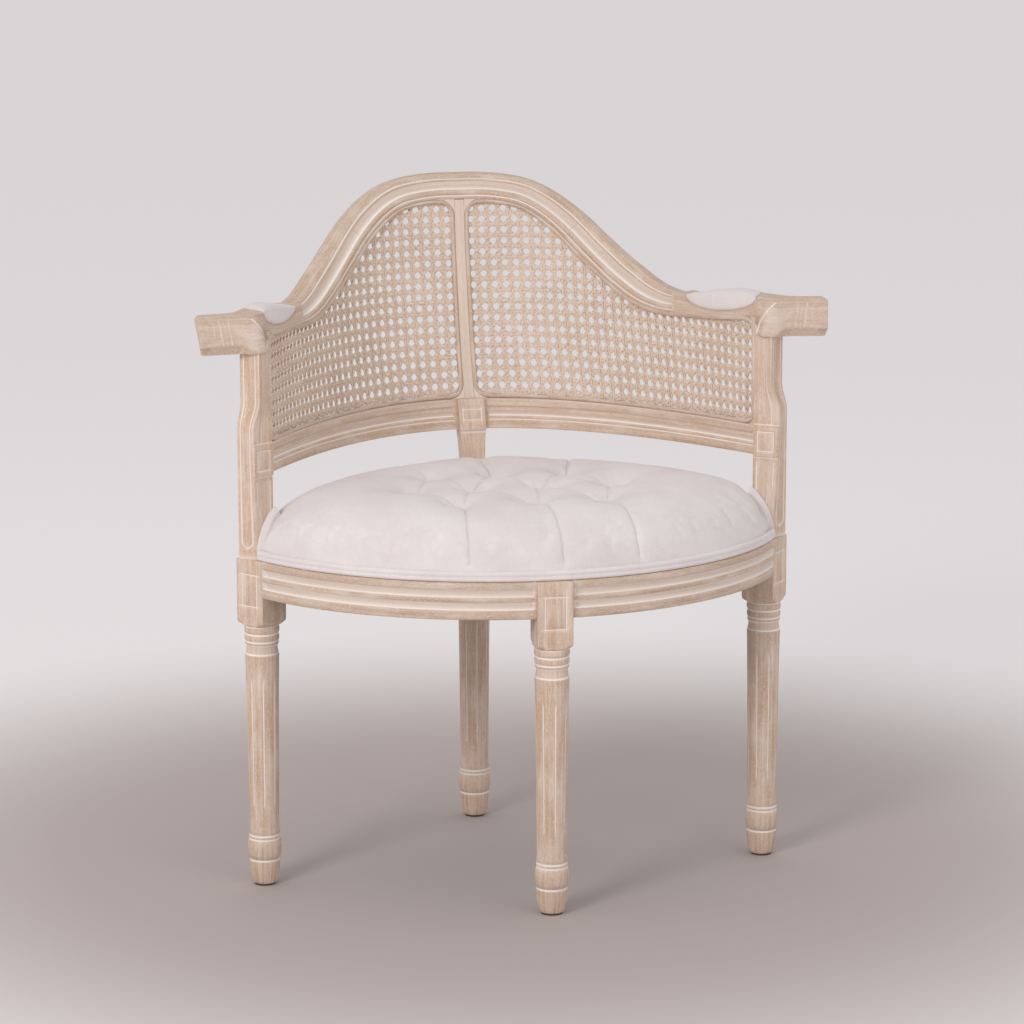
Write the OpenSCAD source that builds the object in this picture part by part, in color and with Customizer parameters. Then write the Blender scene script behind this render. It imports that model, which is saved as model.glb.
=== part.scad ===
// Corner chair: four turned legs, one of them in front, a round tufted seat, and a
// low curved back with two cane panels that runs round from arm to arm.
// The front leg points along -Y. Heights are measured from the floor.

/* [Legs] */
// Distance of each side leg's axis from the middle
side_leg_x = 318; // [280:1:340]
// Distance of the front leg's axis in front of the side legs
front_leg_y = 201; // [180:1:220]
// Distance of the rear leg's axis behind the side legs
rear_leg_y = 260; // [240:1:275]
// Turn of the side legs' blocks, which makes them face the curved rails
block_angle = 38; // [36:1:41]
// Side of the square block on top of each leg
block_w = 43; // [40:1:47]
// Height of the block's lower edge
block_bottom = 328; // [315:1:335]
// Diameter of the shaft under its neck
shaft_top_d = 41.6; // [38:0.2:42.6]
// Diameter of the shaft over its foot
shaft_bottom_d = 36.4; // [33:0.2:38]
// Number of flutes round a shaft
flute_count = 8; // [6:1:10]
// Length of a flute
flute_h = 172; // [140:1:180]
// Depth of a flute
flute_depth = 1.2; // [0.8:0.1:1.6]
// Height of the glide under a foot
glide_h = 5.5; // [4:0.5:8]
// Diameter of the glide
glide_d = 25; // [20:1:27]

/* [Seat frame] */
// Height of the top of the seat rails
rail_top = 411; // [405:1:420]
// Height of a seat rail's section
rail_h = 45; // [40:1:50]
// Thickness of a seat rail
rail_t = 24; // [20:1:27]
// How far a leg block stands proud of the rails
block_proud = 5; // [3:0.5:7]
// Depth of the two coves along a rail's face
cove_depth = 2.6; // [1.5:0.1:4]
// Rise of a rear rail's arc over its chord
rear_rail_rise = 44; // [36:1:52]
// Thickness of the seat board
board_t = 12; // [9:1:15]
// Thickness of the dust cover
cover_t = 1; // [0.8:0.1:2]
// Diameter of the dowels
dowel_d = 8; // [6:0.5:10]
// Length of the dowels
dowel_h = 40; // [30:1:44]

/* [Seat] */
// Height of the cushion's crown over the seat rails
cushion_h = 79; // [70:1:90]
// Width of the soft edge over which the cushion rises
cushion_edge = 120; // [90:5:150]
// Height of the gimp round the foot of the cushion
gimp_h = 13; // [10:0.5:16]
// Thickness of the gimp
gimp_t = 5; // [4:0.5:7]
// Spacing of the tufts
tuft_pitch = 88; // [80:1:94]
// Depth of a tuft
tuft_depth = 15; // [8:1:20]

/* [Posts and stile] */
// Width of a post's outer face
post_outer_w = 27; // [24:1:28]
// Width of a post's inner face
post_inner_w = 35; // [30:1:36]
// Height at which a post meets its arm
post_top = 663; // [650:1:675]
// Width of the stile under the carved square
stile_w = 29; // [26:1:32]
// Width of the carved square on the stile
medallion_w = 35; // [33:1:40]
// How far the carved square stands proud of the back rails
medallion_proud = 9; // [6:0.5:12]
// Depth of the stile from front to back
stile_t = 31; // [28:1:34]
// Width of the muntin between the panels
muntin_w = 13; // [12:0.5:18]
// Thickness of the muntin
muntin_t = 20; // [16:1:24]

/* [Back] */
// Height of the curved back over the seat rails
back_h = 427; // [410:1:440]
// How far the back leans backwards at the top of the crest
back_rake = 109; // [100:1:118]
// Half of the back's width, where the panels end at the posts
back_half_w = 304; // [296:1:308]
// Height of the lower edge of the back rails
back_rail_bottom = 514; // [505:1:518]
// Height of a back rail
back_rail_h = 37; // [32:1:40]
// Thickness of a back rail
back_rail_t = 20; // [16:1:22]
// Height of the panels' top edge where the arms begin
arm_open_z = 668.5; // [664:0.5:674]
// Height of the panels' top edge in the middle
crest_open_z = 798; // [790:1:804]
// Width of the top rail's face, outwards from the panels
top_rail_w = 38; // [34:1:42]
// Depth of the top rail from front to back
top_rail_t = 42; // [38:1:46]
// Half of the crest's width, out to its joints
crest_half_w = 127; // [115:1:135]
// Distance of the arm joints inwards from the back's ends
arm_joint_in = 67; // [62:1:72]

/* [Arms] */
// Reach of an arm end past the back's half width
arm_reach = 82; // [70:1:88]
// Reach of an arm end forwards of the panel's end
arm_forward = 36; // [30:1:42]
// Height of an arm's top over the post's top
arm_h = 48; // [44:1:52]
// Depth of an arm from front to back
arm_t = 42; // [38:1:44]
// Crown of an arm pad over the arm
pad_crown = 8; // [5:0.5:12]
// Thickness of an arm pad's padding
pad_t = 6; // [4:0.5:8]

/* [Cane] */
// Width of the bead round a cane panel
bead_w = 5.8; // [5:0.2:7]
// Thickness of the cane
cane_t = 1.5; // [1.2:0.1:2]
// Spacing of the holes in the cane
cane_pitch = 24; // [22:0.5:28]
// Width of a hole as a share of the spacing
hole_share = 0.5; // [0.4:0.05:0.6]

/* [Fits] */
// Clearance between pieces that rest on each other
fit = 0.3; // [0.2:0.05:0.4]

/* [Hidden] */
$fn = 64;

oak = "#cdb6a0";
linen = "#ded4d2";
steel = "#8f9296";
right_angle = 90;
// Overrun of every cutting shape
over = 2;
// Step along a curve over which its direction is measured
probe = 0.5;

// Frame of the seat, derived
half_block = block_w / 2;
rail_bottom = rail_top - rail_h;
front_face_y = -(front_leg_y + half_block);
outer_dir = [cos(block_angle), -sin(block_angle)];
inner_dir = [-sin(block_angle), -cos(block_angle)];
side_leg = [side_leg_x, 0];
block_front_corner = side_leg + half_block * (outer_dir + inner_dir);
block_rear_corner = side_leg - half_block * (outer_dir + inner_dir);
block_inner_corner = side_leg + half_block * (inner_dir - outer_dir);

// Arc of the front rails, through the side blocks and just behind the front block's face
front_rail_y = front_face_y + block_proud;
front_rise = block_front_corner[1] - front_rail_y;
front_r = (pow(block_front_corner[0], 2) + pow(front_rise, 2)) / (2 * front_rise);
front_centre = [0, front_rail_y + front_r];

// Arc of the right rear rail, from the side block to the rear block
rear_start = block_rear_corner + block_proud / 2 * inner_dir;
rear_end = [half_block, rear_leg_y + half_block - block_proud];
rear_chord = rear_end - rear_start;
rear_across = [rear_chord[1], -rear_chord[0]] / norm(rear_chord);
rear_r = (pow(norm(rear_chord) / 2, 2) + pow(rear_rail_rise, 2)) / (2 * rear_rail_rise);
rear_centre = (rear_start + rear_end) / 2 - (rear_r - rear_rail_rise) * rear_across;

// Curve of the back, seen from the side: shares of the back's height and of its rake
stile_shares = [
    [0, 0], [0.16, 0.13], [0.27, 0.27], [0.38, 0.45], [0.48, 0.60],
    [0.63, 0.76], [0.79, 0.90], [0.9, 0.96], [1.03, 1]
];
stile_front_y = rear_leg_y - half_block + block_proud;
// Where the back's face ends at the posts
back_end_y = block_w * 0.12;
// Fullness of the back's curve seen from above, at the rails and at the arms
low_fullness = 2;
high_fullness = 2.6;

// Top edge of the right panel: shares of the half width and of the crest's rise
open_shares = [
    [0, 1], [0.08, 1], [0.16, 0.985], [0.25, 0.94], [0.33, 0.83], [0.41, 0.66], [0.49, 0.445],
    [0.58, 0.22], [0.66, 0.065], [0.74, 0], [0.82, 0.01], [0.9, 0.04], [1, 0.095]
];
back_rail_top = back_rail_bottom + back_rail_h;
open_bottom = back_rail_top + bead_w;
open_in_x = muntin_w / 2 + bead_w;
open_out_x = back_half_w - bead_w * 0.6;

// The whole model is moved so that its middle stands over the origin
crest_back_y = stile_y(crest_open_z) + top_rail_t;
depth_mid = (crest_back_y + front_face_y) / 2;

// Value at a place on a smooth curve through a table of [place, value] pairs
function knot_slope(t, i) =
    let(a = max(i - 1, 0), b = min(i + 1, len(t) - 1))
    (t[b][1] - t[a][1]) / (t[b][0] - t[a][0]);
function curve_at(t, s) =
    let(
        place = min(max(s, t[0][0]), t[len(t) - 1][0]),
        i = max([for (k = [0 : len(t) - 2]) if (t[k][0] <= place) k]),
        h = t[i + 1][0] - t[i][0],
        u = (place - t[i][0]) / h
    )
    (2 * pow(u, 3) - 3 * pow(u, 2) + 1) * t[i][1]
    + (pow(u, 3) - 2 * pow(u, 2) + u) * h * knot_slope(t, i)
    + (3 * pow(u, 2) - 2 * pow(u, 3)) * t[i + 1][1]
    + (pow(u, 3) - pow(u, 2)) * h * knot_slope(t, i + 1);
function unit(v) = v / norm(v);
function clamp01(s) = min(max(s, 0), 1);

// Face of the back: distance behind the side legs at a place and a height
function stile_y(z) = stile_front_y + back_rake * curve_at(stile_shares, (z - rail_top) / back_h);
function fullness(z) =
    low_fullness
    + (high_fullness - low_fullness) * clamp01((z - back_rail_top) / (arm_open_z - back_rail_top));
function back_y(x, z) =
    back_end_y
    + (stile_y(z) - back_end_y) * (1 - pow(clamp01(abs(x) / back_half_w), fullness(z)));
function back_point(x, z) = [x, back_y(x, z), z];
// Level direction straight back out of the face, on the right half
function back_out(x, z) =
    let(s = min(max(x, probe), back_half_w - probe),
        slope = (back_y(s + probe, z) - back_y(s - probe, z)) / (2 * probe))
    x == 0 ? [0, 1, 0] : unit([-slope, 1, 0]);

// Height of a panel's top edge, and its frame: direction outwards across the top rail
function open_z(x) =
    arm_open_z + (crest_open_z - arm_open_z) * curve_at(open_shares, abs(x) / back_half_w);
function open_point(x) = back_point(x, open_z(x));
function open_up(x) =
    x == 0 ? [0, 0, 1]
    : unit(cross(unit(open_point(x + probe) - open_point(x - probe)), back_out(x, open_z(x))));
function open_spot(x, outward, depth) =
    open_point(x) + outward * open_up(x) + depth * back_out(x, open_z(x));

// Closed skin over rings of points. The first half of a ring runs along its front and the
// second half back along its rear, so that an end is closed by pairing them.
module skin(rings, closed = false) {
    n = len(rings[0]);
    m = len(rings);
    half = n / 2;
    sides = [
        for (k = [0 : (closed ? m - 1 : m - 2)], j = [0 : n - 1])
        let(a = k * n + j, b = k * n + (j + 1) % n, c = ((k + 1) % m) * n + (j + 1) % n,
            d = ((k + 1) % m) * n + j)
        each [[a, b, c], [a, c, d]]
    ];
    function cap(first) = [
        for (j = [0 : half - 2])
        let(a = first + j, b = first + j + 1, c = first + n - 2 - j, d = first + n - 1 - j)
        each [[a, d, c], [a, c, b]]
    ];
    start = closed ? [] : cap(0);
    end = closed ? [] : [for (f = cap((m - 1) * n)) [f[2], f[1], f[0]]];
    polyhedron(points = [for (r = rings) each r], faces = concat(sides, start, end), convexity = 8);
}

module placed() {
    translate([0, -depth_mid, 0]) children();
}

module mirrored() {
    mirror([1, 0, 0]) children();
}

// Turned leg: half widths at heights, as shares of the shaft's diameter and the block's height
shaft_from = 0.238 * block_bottom;
shaft_to = 0.89 * block_bottom;
foot_edge_share = 0.39;
foot_shares = [[0.48, 0.046], [0.51, 0.085], [0.507, 0.098], [0.53, 0.12],
    [0.565, 0.147], [0.55, 0.168], [0.5, 0.18], [0.525, 0.187], [0.505, 0.2]];
neck_shares = [[0.485, 0.9], [0.458, 0.917], [0.475, 0.925], [0.49, 0.939], [0.51, 0.945],
    [0.51, 0.96], [0.495, 0.966], [0.514, 0.972], [0.514, 0.995], [0.49, 1]];

module turned_leg() {
    foot_d = shaft_top_d * 0.9;
    leg = [
        [foot_edge_share * foot_d, glide_h],
        for (p = foot_shares) [p[0] * foot_d, p[1] * block_bottom],
        [shaft_bottom_d / 2, shaft_from],
        [shaft_top_d / 2, shaft_to],
        for (p = neck_shares) [p[0] * shaft_top_d, p[1] * block_bottom]
    ];
    rotate_extrude() polygon(concat([[0, leg[0][1]]], leg, [[0, block_bottom]]));
}

// One long disc with a sharp rim cuts one flute, deepest in its middle and pointed at both ends
module flutes() {
    disc_r = pow(flute_h / 2, 2) / (2 * flute_depth);
    rim = flute_depth * 4;
    mid_z = (shaft_from + shaft_to) / 2;
    mid_r = (shaft_bottom_d + shaft_top_d) / 4;
    lean = atan2((shaft_top_d - shaft_bottom_d) / 2, shaft_to - shaft_from);
    for (k = [0 : flute_count - 1])
        rotate([0, 0, k * 360 / flute_count])
            translate([mid_r - flute_depth, 0, mid_z])
                rotate([0, lean, 0])
                    translate([disc_r, 0, 0])
                        rotate([right_angle, 0, 0])
                            rotate_extrude($fn = 360)
                                polygon([[disc_r - rim, -rim], [disc_r, 0], [disc_r - rim, rim]]);
}

// Leg block with its corners turned down to the collar
module leg_block() {
    block_z = rail_top - block_bottom;
    shoulder = block_w * 0.12;
    intersection() {
        translate([-half_block, -half_block, block_bottom]) cube([block_w, block_w, block_z]);
        rotate_extrude()
            polygon([
                [0, block_bottom], [half_block, block_bottom],
                [half_block * 1.25, block_bottom + shoulder * 0.5],
                [half_block * 1.45, block_bottom + shoulder],
                [half_block * 1.45, rail_top], [0, rail_top]
            ]);
    }
}

// Thin square groove carved into a face: w by h, centred, on the face y = 0 looking to -Y
carve_w = 1.8;
carve_depth = 1.2;
module carved_frame(w, h) {
    difference() {
        translate([-w / 2, -over, -h / 2]) cube([w, over + carve_depth, h]);
        translate([-w / 2 + carve_w, -2 * over, -h / 2 + carve_w])
            cube([w - 2 * carve_w, 4 * over, h - 2 * carve_w]);
    }
}

carved_w = block_w * 0.6;
carved_h = block_w * 0.9;
carved_z = rail_top - carved_h;

module leg_with_block() {
    difference() {
        turned_leg();
        flutes();
    }
    leg_block();
}

// Dowels between the seat rails and the leg blocks, on the right side
dowel_spots = [
    [[half_block, front_rail_y + rail_t / 2, 0], [1, 0, 0]],
    [concat(block_front_corner + rail_t / 2 * -outer_dir, 0), concat(inner_dir, 0)],
    [concat(rear_start + rail_t / 2 * inner_dir, 0), concat(-outer_dir, 0)],
    [[half_block, rear_end[1] - rail_t / 2, 0], [1, 0, 0]]
];
module one_side_dowels(grow) {
    for (s = dowel_spots, z = [rail_bottom + rail_h * 0.28, rail_bottom + rail_h * 0.72])
        translate([s[0][0], s[0][1], z])
            rotate([0, right_angle, atan2(s[1][1], s[1][0])])
                cylinder(d = dowel_d + 2 * grow, h = dowel_h + 2 * grow, center = true, $fn = 24);
}
module all_rail_dowels(grow) {
    one_side_dowels(grow);
    mirrored() one_side_dowels(grow);
}
dowel_gap = fit / 2;

// Bolts that draw each leg block to the corner block behind it
bolt_d = 6;
bolt_h = 58;
bolt_head_d = 13;
bolt_head_h = 5;
washer_d = 18;
washer_t = 1.6;
corner_block_t = 30;
corner_block_w = 130;
corner_block_h = rail_h - board_t - 4 * fit;
corner_block_z = rail_bottom + fit;
bolt_z = rail_bottom + corner_block_h / 2;
// For each leg: the point of its block that faces the seat, and the angle of the bolt
bolt_spots = [
    [[0, front_face_y + block_w, 0], -right_angle],
    [concat(block_inner_corner, 0), 0],
    [[0, rear_leg_y - half_block, 0], right_angle],
    [[-block_inner_corner[0], block_inner_corner[1], 0], 2 * right_angle]
];
module at_bolts() {
    for (s = bolt_spots)
        translate([s[0][0], s[0][1], bolt_z]) rotate([0, 0, s[1]]) children();
}
module bolt_holes(grow) {
    at_bolts()
        translate([-corner_block_t - bolt_head_h, 0, 0])
            rotate([0, right_angle, 0])
                rotate([0, 0, right_angle / 2])
                    cylinder(d = bolt_d + 2 * grow, h = bolt_h + grow, $fn = 24);
}

module leg_front() {
    color(oak) placed() difference() {
        translate([0, -front_leg_y, 0]) leg_with_block();
        translate([0, front_face_y, carved_z]) carved_frame(carved_w, carved_h);
        all_rail_dowels(dowel_gap);
        bolt_holes(dowel_gap);
    }
}

// Right post above its block. Corners seen from above: outer, front, inner and rear.
post_kink_top = 0.928 * post_top;
post_kink_bottom = 0.854 * post_top;
low_outer = side_leg + (half_block - block_proud / 4) * outer_dir - (half_block - block_proud / 2) * inner_dir
    + [0, -block_proud / 2];
low_inner = low_outer - post_inner_w * outer_dir + post_outer_w * inner_dir;
low_corners = [
    low_outer,
    low_outer + post_outer_w * inner_dir,
    low_inner,
    low_outer - post_inner_w * outer_dir
];
panel_end = [back_half_w + fit, back_end_y];
high_corners = [
    low_outer + [-block_proud, block_proud],
    panel_end + [block_w * 0.36, -block_w * 0.5],
    panel_end,
    panel_end + [block_w * 0.36, block_w * 0.54]
];
function post_corners(z) =
    let(s = clamp01((z - post_kink_bottom) / (post_kink_top - post_kink_bottom)),
        blend = pow(s, 2) * (3 - 2 * s))
    [for (i = [0 : 3]) concat((1 - blend) * low_corners[i] + blend * high_corners[i], z)];
post_levels = concat(
    [rail_top - over],
    [for (k = [0 : 5]) post_kink_bottom + (post_kink_top - post_kink_bottom) * k / 5],
    [post_top]
);

// Wide flute down the post's outer face, with a round lower end
post_flute_w = post_outer_w * 0.5;
post_flute_depth = 2.4;
post_flute_bottom = rail_top + post_outer_w * 0.55;
module post_flute() {
    mid = (low_corners[0] + low_corners[1]) / 2;
    flute_r = (pow(post_flute_w / 2, 2) + pow(post_flute_depth, 2)) / (2 * post_flute_depth);
    spot = mid + (flute_r - post_flute_depth) * outer_dir;
    translate([spot[0], spot[1], post_flute_bottom])
        cylinder(r = flute_r, h = post_kink_bottom - post_flute_bottom - post_flute_w / 2, $fn = 48);
}

module right_post() {
    difference() {
        skin([for (z = post_levels) post_corners(z)]);
        post_flute();
    }
    // carved square on the inner face, level with the back rails
    face_mid = (low_corners[1] + low_corners[2]) / 2;
    difference() {
        translate([face_mid[0], face_mid[1], back_rail_bottom])
            rotate([0, 0, -block_angle])
                translate([-post_inner_w / 2, -medallion_step, 0])
                    cube([post_inner_w, medallion_step + over, back_rail_h]);
        translate([face_mid[0], face_mid[1], back_rail_bottom + back_rail_h / 2])
            rotate([0, 0, -block_angle])
                translate([0, -medallion_step, 0])
                    carved_frame(post_inner_w * 0.62, back_rail_h * 0.66);
    }
}
medallion_step = 1.5;

module right_leg() {
    difference() {
        union() {
            translate([side_leg_x, 0, 0]) rotate([0, 0, -block_angle]) leg_with_block();
            right_post();
        }
        translate([side_leg_x, 0, carved_z])
            rotate([0, 0, right_angle - block_angle])
                translate([0, -half_block, 0])
                    carved_frame(carved_w * 0.8, carved_h * 0.9);
        all_rail_dowels(dowel_gap);
        bolt_holes(dowel_gap);
    }
}

module leg_right() {
    color(oak) placed() right_leg();
}

module leg_left() {
    color(oak) placed() mirrored() right_leg();
}

// Level ring round an upright of the middle of the back
function upright_ring(w, front, deep, z) =
    [[w / 2, front, z], [-w / 2, front, z], [-w / 2, front + deep, z], [w / 2, front + deep, z]];

// Stile: shares of its height up to the carved square, and of the way out to the square's width
stile_flare_shares = [[0, 0.1], [0.25, 0], [0.55, 0], [0.8, 0.3], [1, 0.9]];
module stile() {
    low_from = rail_top - over;
    low_h = back_rail_bottom + over - low_from;
    low_proud = medallion_proud * 0.3;
    skin([
        for (s = stile_flare_shares)
        let(z = low_from + s[0] * low_h)
        upright_ring(stile_w + (medallion_w - stile_w) * s[1], stile_y(z) - low_proud, stile_t, z)
    ]);
    difference() {
        skin([
            for (z = [back_rail_bottom, back_rail_top])
            upright_ring(medallion_w, stile_y(z) - medallion_proud, stile_t, z)
        ]);
        translate([0, stile_y(back_rail_bottom) - medallion_proud, back_rail_bottom + back_rail_h / 2])
            rotate([-stile_lean, 0, 0])
                translate([0, stile_half_step, 0])
                    carved_frame(medallion_w * 0.66, back_rail_h * 0.6);
    }
}
stile_step = stile_y(back_rail_top) - stile_y(back_rail_bottom);
stile_half_step = stile_step / 2;
stile_lean = atan2(stile_step, back_rail_h);

module leg_rear() {
    color(oak) placed() difference() {
        union() {
            translate([0, rear_leg_y, 0]) leg_with_block();
            stile();
        }
        all_rail_dowels(dowel_gap);
        bolt_holes(dowel_gap);
    }
}

module back_muntin() {
    levels = [for (k = [0 : 8]) back_rail_top + fit / 2
        + (crest_open_z + bead_w - fit - back_rail_top) * k / 8];
    color(oak) placed() skin([for (z = levels) upright_ring(muntin_w, stile_y(z), muntin_t, z)]);
}

// Seat rail section: [share of the cove's depth inwards, share of the rail's height]
rail_face_shares = [
    [0, 0], [0, 0.26], [0.8, 0.3], [1, 0.36], [0.8, 0.42], [0.2, 0.46], [0.1, 0.53], [0.2, 0.6],
    [0.8, 0.64], [1, 0.7], [0.8, 0.76], [0, 0.8], [0, 1]
];
module rail_ring(centre, outer_r, from, span) {
    translate([centre[0], centre[1], rail_bottom])
        rotate([0, 0, from])
            rotate_extrude(angle = span, $fn = 180)
                polygon(concat(
                    [for (s = rail_face_shares) [outer_r - s[0] * cove_depth, s[1] * rail_h]],
                    [[outer_r - rail_t, rail_h], [outer_r - rail_t, 0]]
                ));
}
// Space of the leg blocks, which the rails butt against
module block_spaces() {
    for (y = [-front_leg_y, rear_leg_y])
        translate([-half_block, y - half_block, rail_bottom - over]) cube([block_w, block_w, rail_h + 2 * over]);
    translate([side_leg_x, 0, rail_bottom - over])
        rotate([0, 0, -block_angle])
            translate([-half_block, -half_block, 0]) cube([block_w, block_w, rail_h + 2 * over]);
}

module right_front_rail() {
    from = -right_angle + asin(half_block / 2 / front_r);
    upto = atan2(side_leg[1] - front_centre[1], side_leg[0] - front_centre[0]);
    difference() {
        rail_ring(front_centre, front_r, from, upto - from);
        block_spaces();
        all_rail_dowels(dowel_gap);
    }
}

module right_rear_rail() {
    from = atan2(side_leg[1] - rear_centre[1], side_leg[0] - rear_centre[0]);
    upto = atan2(rear_end[1] - rear_centre[1], rear_end[0] / 2 - rear_centre[0]);
    difference() {
        rail_ring(rear_centre, rear_r, from, upto - from);
        block_spaces();
        all_rail_dowels(dowel_gap);
    }
}

module front_rail_right() {
    color(oak) placed() right_front_rail();
}

module front_rail_left() {
    color(oak) placed() mirrored() right_front_rail();
}

module rear_rail_right() {
    color(oak) placed() right_rear_rail();
}

module rear_rail_left() {
    color(oak) placed() mirrored() right_rear_rail();
}

module rail_dowels() {
    color("#c8a878") placed() all_rail_dowels(0);
}

// Inside of the seat frame, drawn in by an inset and filled between two heights
module seat_disc(inset, from, h) {
    translate([0, 0, from])
        intersection() {
            translate([front_centre[0], front_centre[1], 0]) cylinder(r = front_r - inset, h = h, $fn = 180);
            translate([rear_centre[0], rear_centre[1], 0]) cylinder(r = rear_r - inset, h = h, $fn = 180);
            translate([-rear_centre[0], rear_centre[1], 0]) cylinder(r = rear_r - inset, h = h, $fn = 180);
        }
}

module corner_blocks() {
    color("#c2a685") placed() difference() {
        intersection() {
            seat_disc(rail_t + fit, corner_block_z, corner_block_h);
            for (s = bolt_spots)
                translate([s[0][0], s[0][1], corner_block_z])
                    rotate([0, 0, s[1]])
                        translate([-corner_block_t - fit, -corner_block_w / 2, 0])
                            cube([corner_block_t, corner_block_w, corner_block_h]);
        }
        bolt_holes(dowel_gap);
        seat_screw_shapes(dowel_gap);
    }
}

module corner_bolts() {
    color(steel) placed() at_bolts() {
        translate([-corner_block_t - bolt_head_h, 0, 0])
            rotate([0, right_angle, 0]) cylinder(d = bolt_d, h = bolt_h, $fn = 24);
        translate([-corner_block_t - fit - washer_t - bolt_head_h, 0, 0])
            rotate([0, right_angle, 0]) cylinder(d = bolt_head_d, h = bolt_head_h, $fn = 6);
    }
}

module corner_washers() {
    color(steel) placed() at_bolts()
        translate([-corner_block_t - fit - washer_t, 0, 0])
            rotate([0, right_angle, 0])
                difference() {
                    cylinder(d = washer_d, h = washer_t, $fn = 32);
                    translate([0, 0, -over]) cylinder(d = bolt_d + 2 * dowel_gap, h = washer_t + 2 * over, $fn = 24);
                }
}

// Screws up through the corner blocks into the seat board
screw_d = 4;
screw_head_d = 8;
screw_head_h = 3;
screw_bite = board_t * 0.6;
module seat_screw_shapes(grow) {
    at_bolts()
        for (side = [-1, 1])
            translate([-corner_block_t / 2, side * corner_block_w * 0.24, corner_block_z - bolt_z])
                union() {
                    translate([0, 0, -grow]) cylinder(d = screw_head_d + 2 * grow, h = screw_head_h + 2 * grow, $fn = 24);
                    cylinder(d = screw_d + 2 * grow, h = corner_block_h + fit + screw_bite + grow, $fn = 24);
                }
}

module seat_screws() {
    color(steel) placed() seat_screw_shapes(0);
}

board_bottom = corner_block_z + corner_block_h + fit;
module block_clearance(from, h) {
    for (y = [-front_leg_y, rear_leg_y])
        translate([-half_block - fit, y - half_block - fit, from])
            cube([block_w + 2 * fit, block_w + 2 * fit, h]);
    for (side = [-1, 1])
        translate([side * side_leg_x, 0, from])
            rotate([0, 0, -side * block_angle])
                translate([-half_block - fit, -half_block - fit, 0])
                    cube([block_w + 2 * fit, block_w + 2 * fit, h]);
}

module seat_board() {
    color("#d9c4a2") placed() difference() {
        seat_disc(rail_t + fit, board_bottom, rail_top - board_bottom);
        block_clearance(board_bottom - over, board_t + 2 * over);
        seat_screw_shapes(dowel_gap);
    }
}

module dust_cover() {
    color("#2b2a2a") placed() difference() {
        seat_disc(rail_t / 3, rail_bottom - cover_t - fit, cover_t);
        block_clearance(rail_bottom - cover_t - over, cover_t + 2 * over);
    }
}

module foot_glides() {
    color("#3c3733") placed()
        for (p = [[0, -front_leg_y], [side_leg_x, 0], [0, rear_leg_y], [-side_leg_x, 0]])
            translate([p[0], p[1], 0]) cylinder(d = glide_d, h = glide_h, $fn = 48);
}

// Cushion: how far the seat's outline lies from a middle point, in a direction
seat_mid = [0, (rear_leg_y - front_leg_y) / 2];
function ray_to(centre, r, dir) =
    let(to = centre - seat_mid, along = to * dir)
    along + sqrt(pow(along, 2) - to * to + pow(r, 2));
function seat_reach(dir, inset) =
    min(
        ray_to(front_centre, front_r - inset, dir),
        ray_to(rear_centre, rear_r - inset, dir),
        ray_to([-rear_centre[0], rear_centre[1]], rear_r - inset, dir)
    );
// Three staggered rows of tufts, in shares of their spacing
tuft_shares = [
    [-1, 1], [0, 1], [1, 1], [-1.5, 0], [-0.5, 0], [0.5, 0], [1.5, 0], [-1, -1], [0, -1], [1, -1]
];
tuft_mid_y = seat_mid[1] * 0.2;
tuft_points = [for (s = tuft_shares) [s[0] * tuft_pitch, tuft_mid_y + s[1] * tuft_pitch]];
tuft_spread = tuft_pitch * 0.26;
pleat_spread = tuft_pitch * 0.12;
// Nearness to a pleat between two points: 1 on it, 0 far away
function pleat_near(p, a, b) =
    let(along = b - a, s = clamp01((p - a) * along / (along * along)), d = norm(p - a - s * along))
    exp(-pow(d / pleat_spread, 2));
pleat_pairs = [
    for (i = [0 : len(tuft_points) - 1], j = [0 : len(tuft_points) - 1])
    if (j > i && norm(tuft_points[i] - tuft_points[j]) < tuft_pitch * 1.3
        && tuft_points[i][1] != tuft_points[j][1]) [tuft_points[i], tuft_points[j]]
];
// Pleats from the outer rows out to the edge
edge_pleats = [
    for (p = tuft_points) if (p[1] != tuft_mid_y)
    let(way = p[1] > tuft_mid_y ? 1 : -1)
    [p, [p[0] * 1.05, tuft_mid_y + way * tuft_pitch * 2.4]]
];
function tuft_drop(p) =
    max([for (t = tuft_points) exp(-pow(norm(p - t) / tuft_spread, 2))]);
function pleat_drop(p) =
    max([for (s = concat(pleat_pairs, edge_pleats)) pleat_near(p, s[0], s[1])]);
crown_power = 2.5;
function crown(inwards) =
    pow(1 - pow(1 - clamp01(inwards / cushion_edge), crown_power), 1 / crown_power);
cushion_base = rail_top + fit;
cushion_lip = rail_top + gimp_h;
function cushion_top(p, inwards) =
    let(rise = crown(inwards))
    cushion_lip + (cushion_h - gimp_h) * rise
    - tuft_depth * rise * max(tuft_drop(p), 0.25 * pleat_drop(p));
cushion_spokes = 48;
ring_shares = [
    0.12, 0.22, 0.3, 0.37, 0.43, 0.49, 0.55, 0.61, 0.67, 0.73, 0.79, 0.84, 0.88, 0.92, 0.955, 0.98, 1
];

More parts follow.
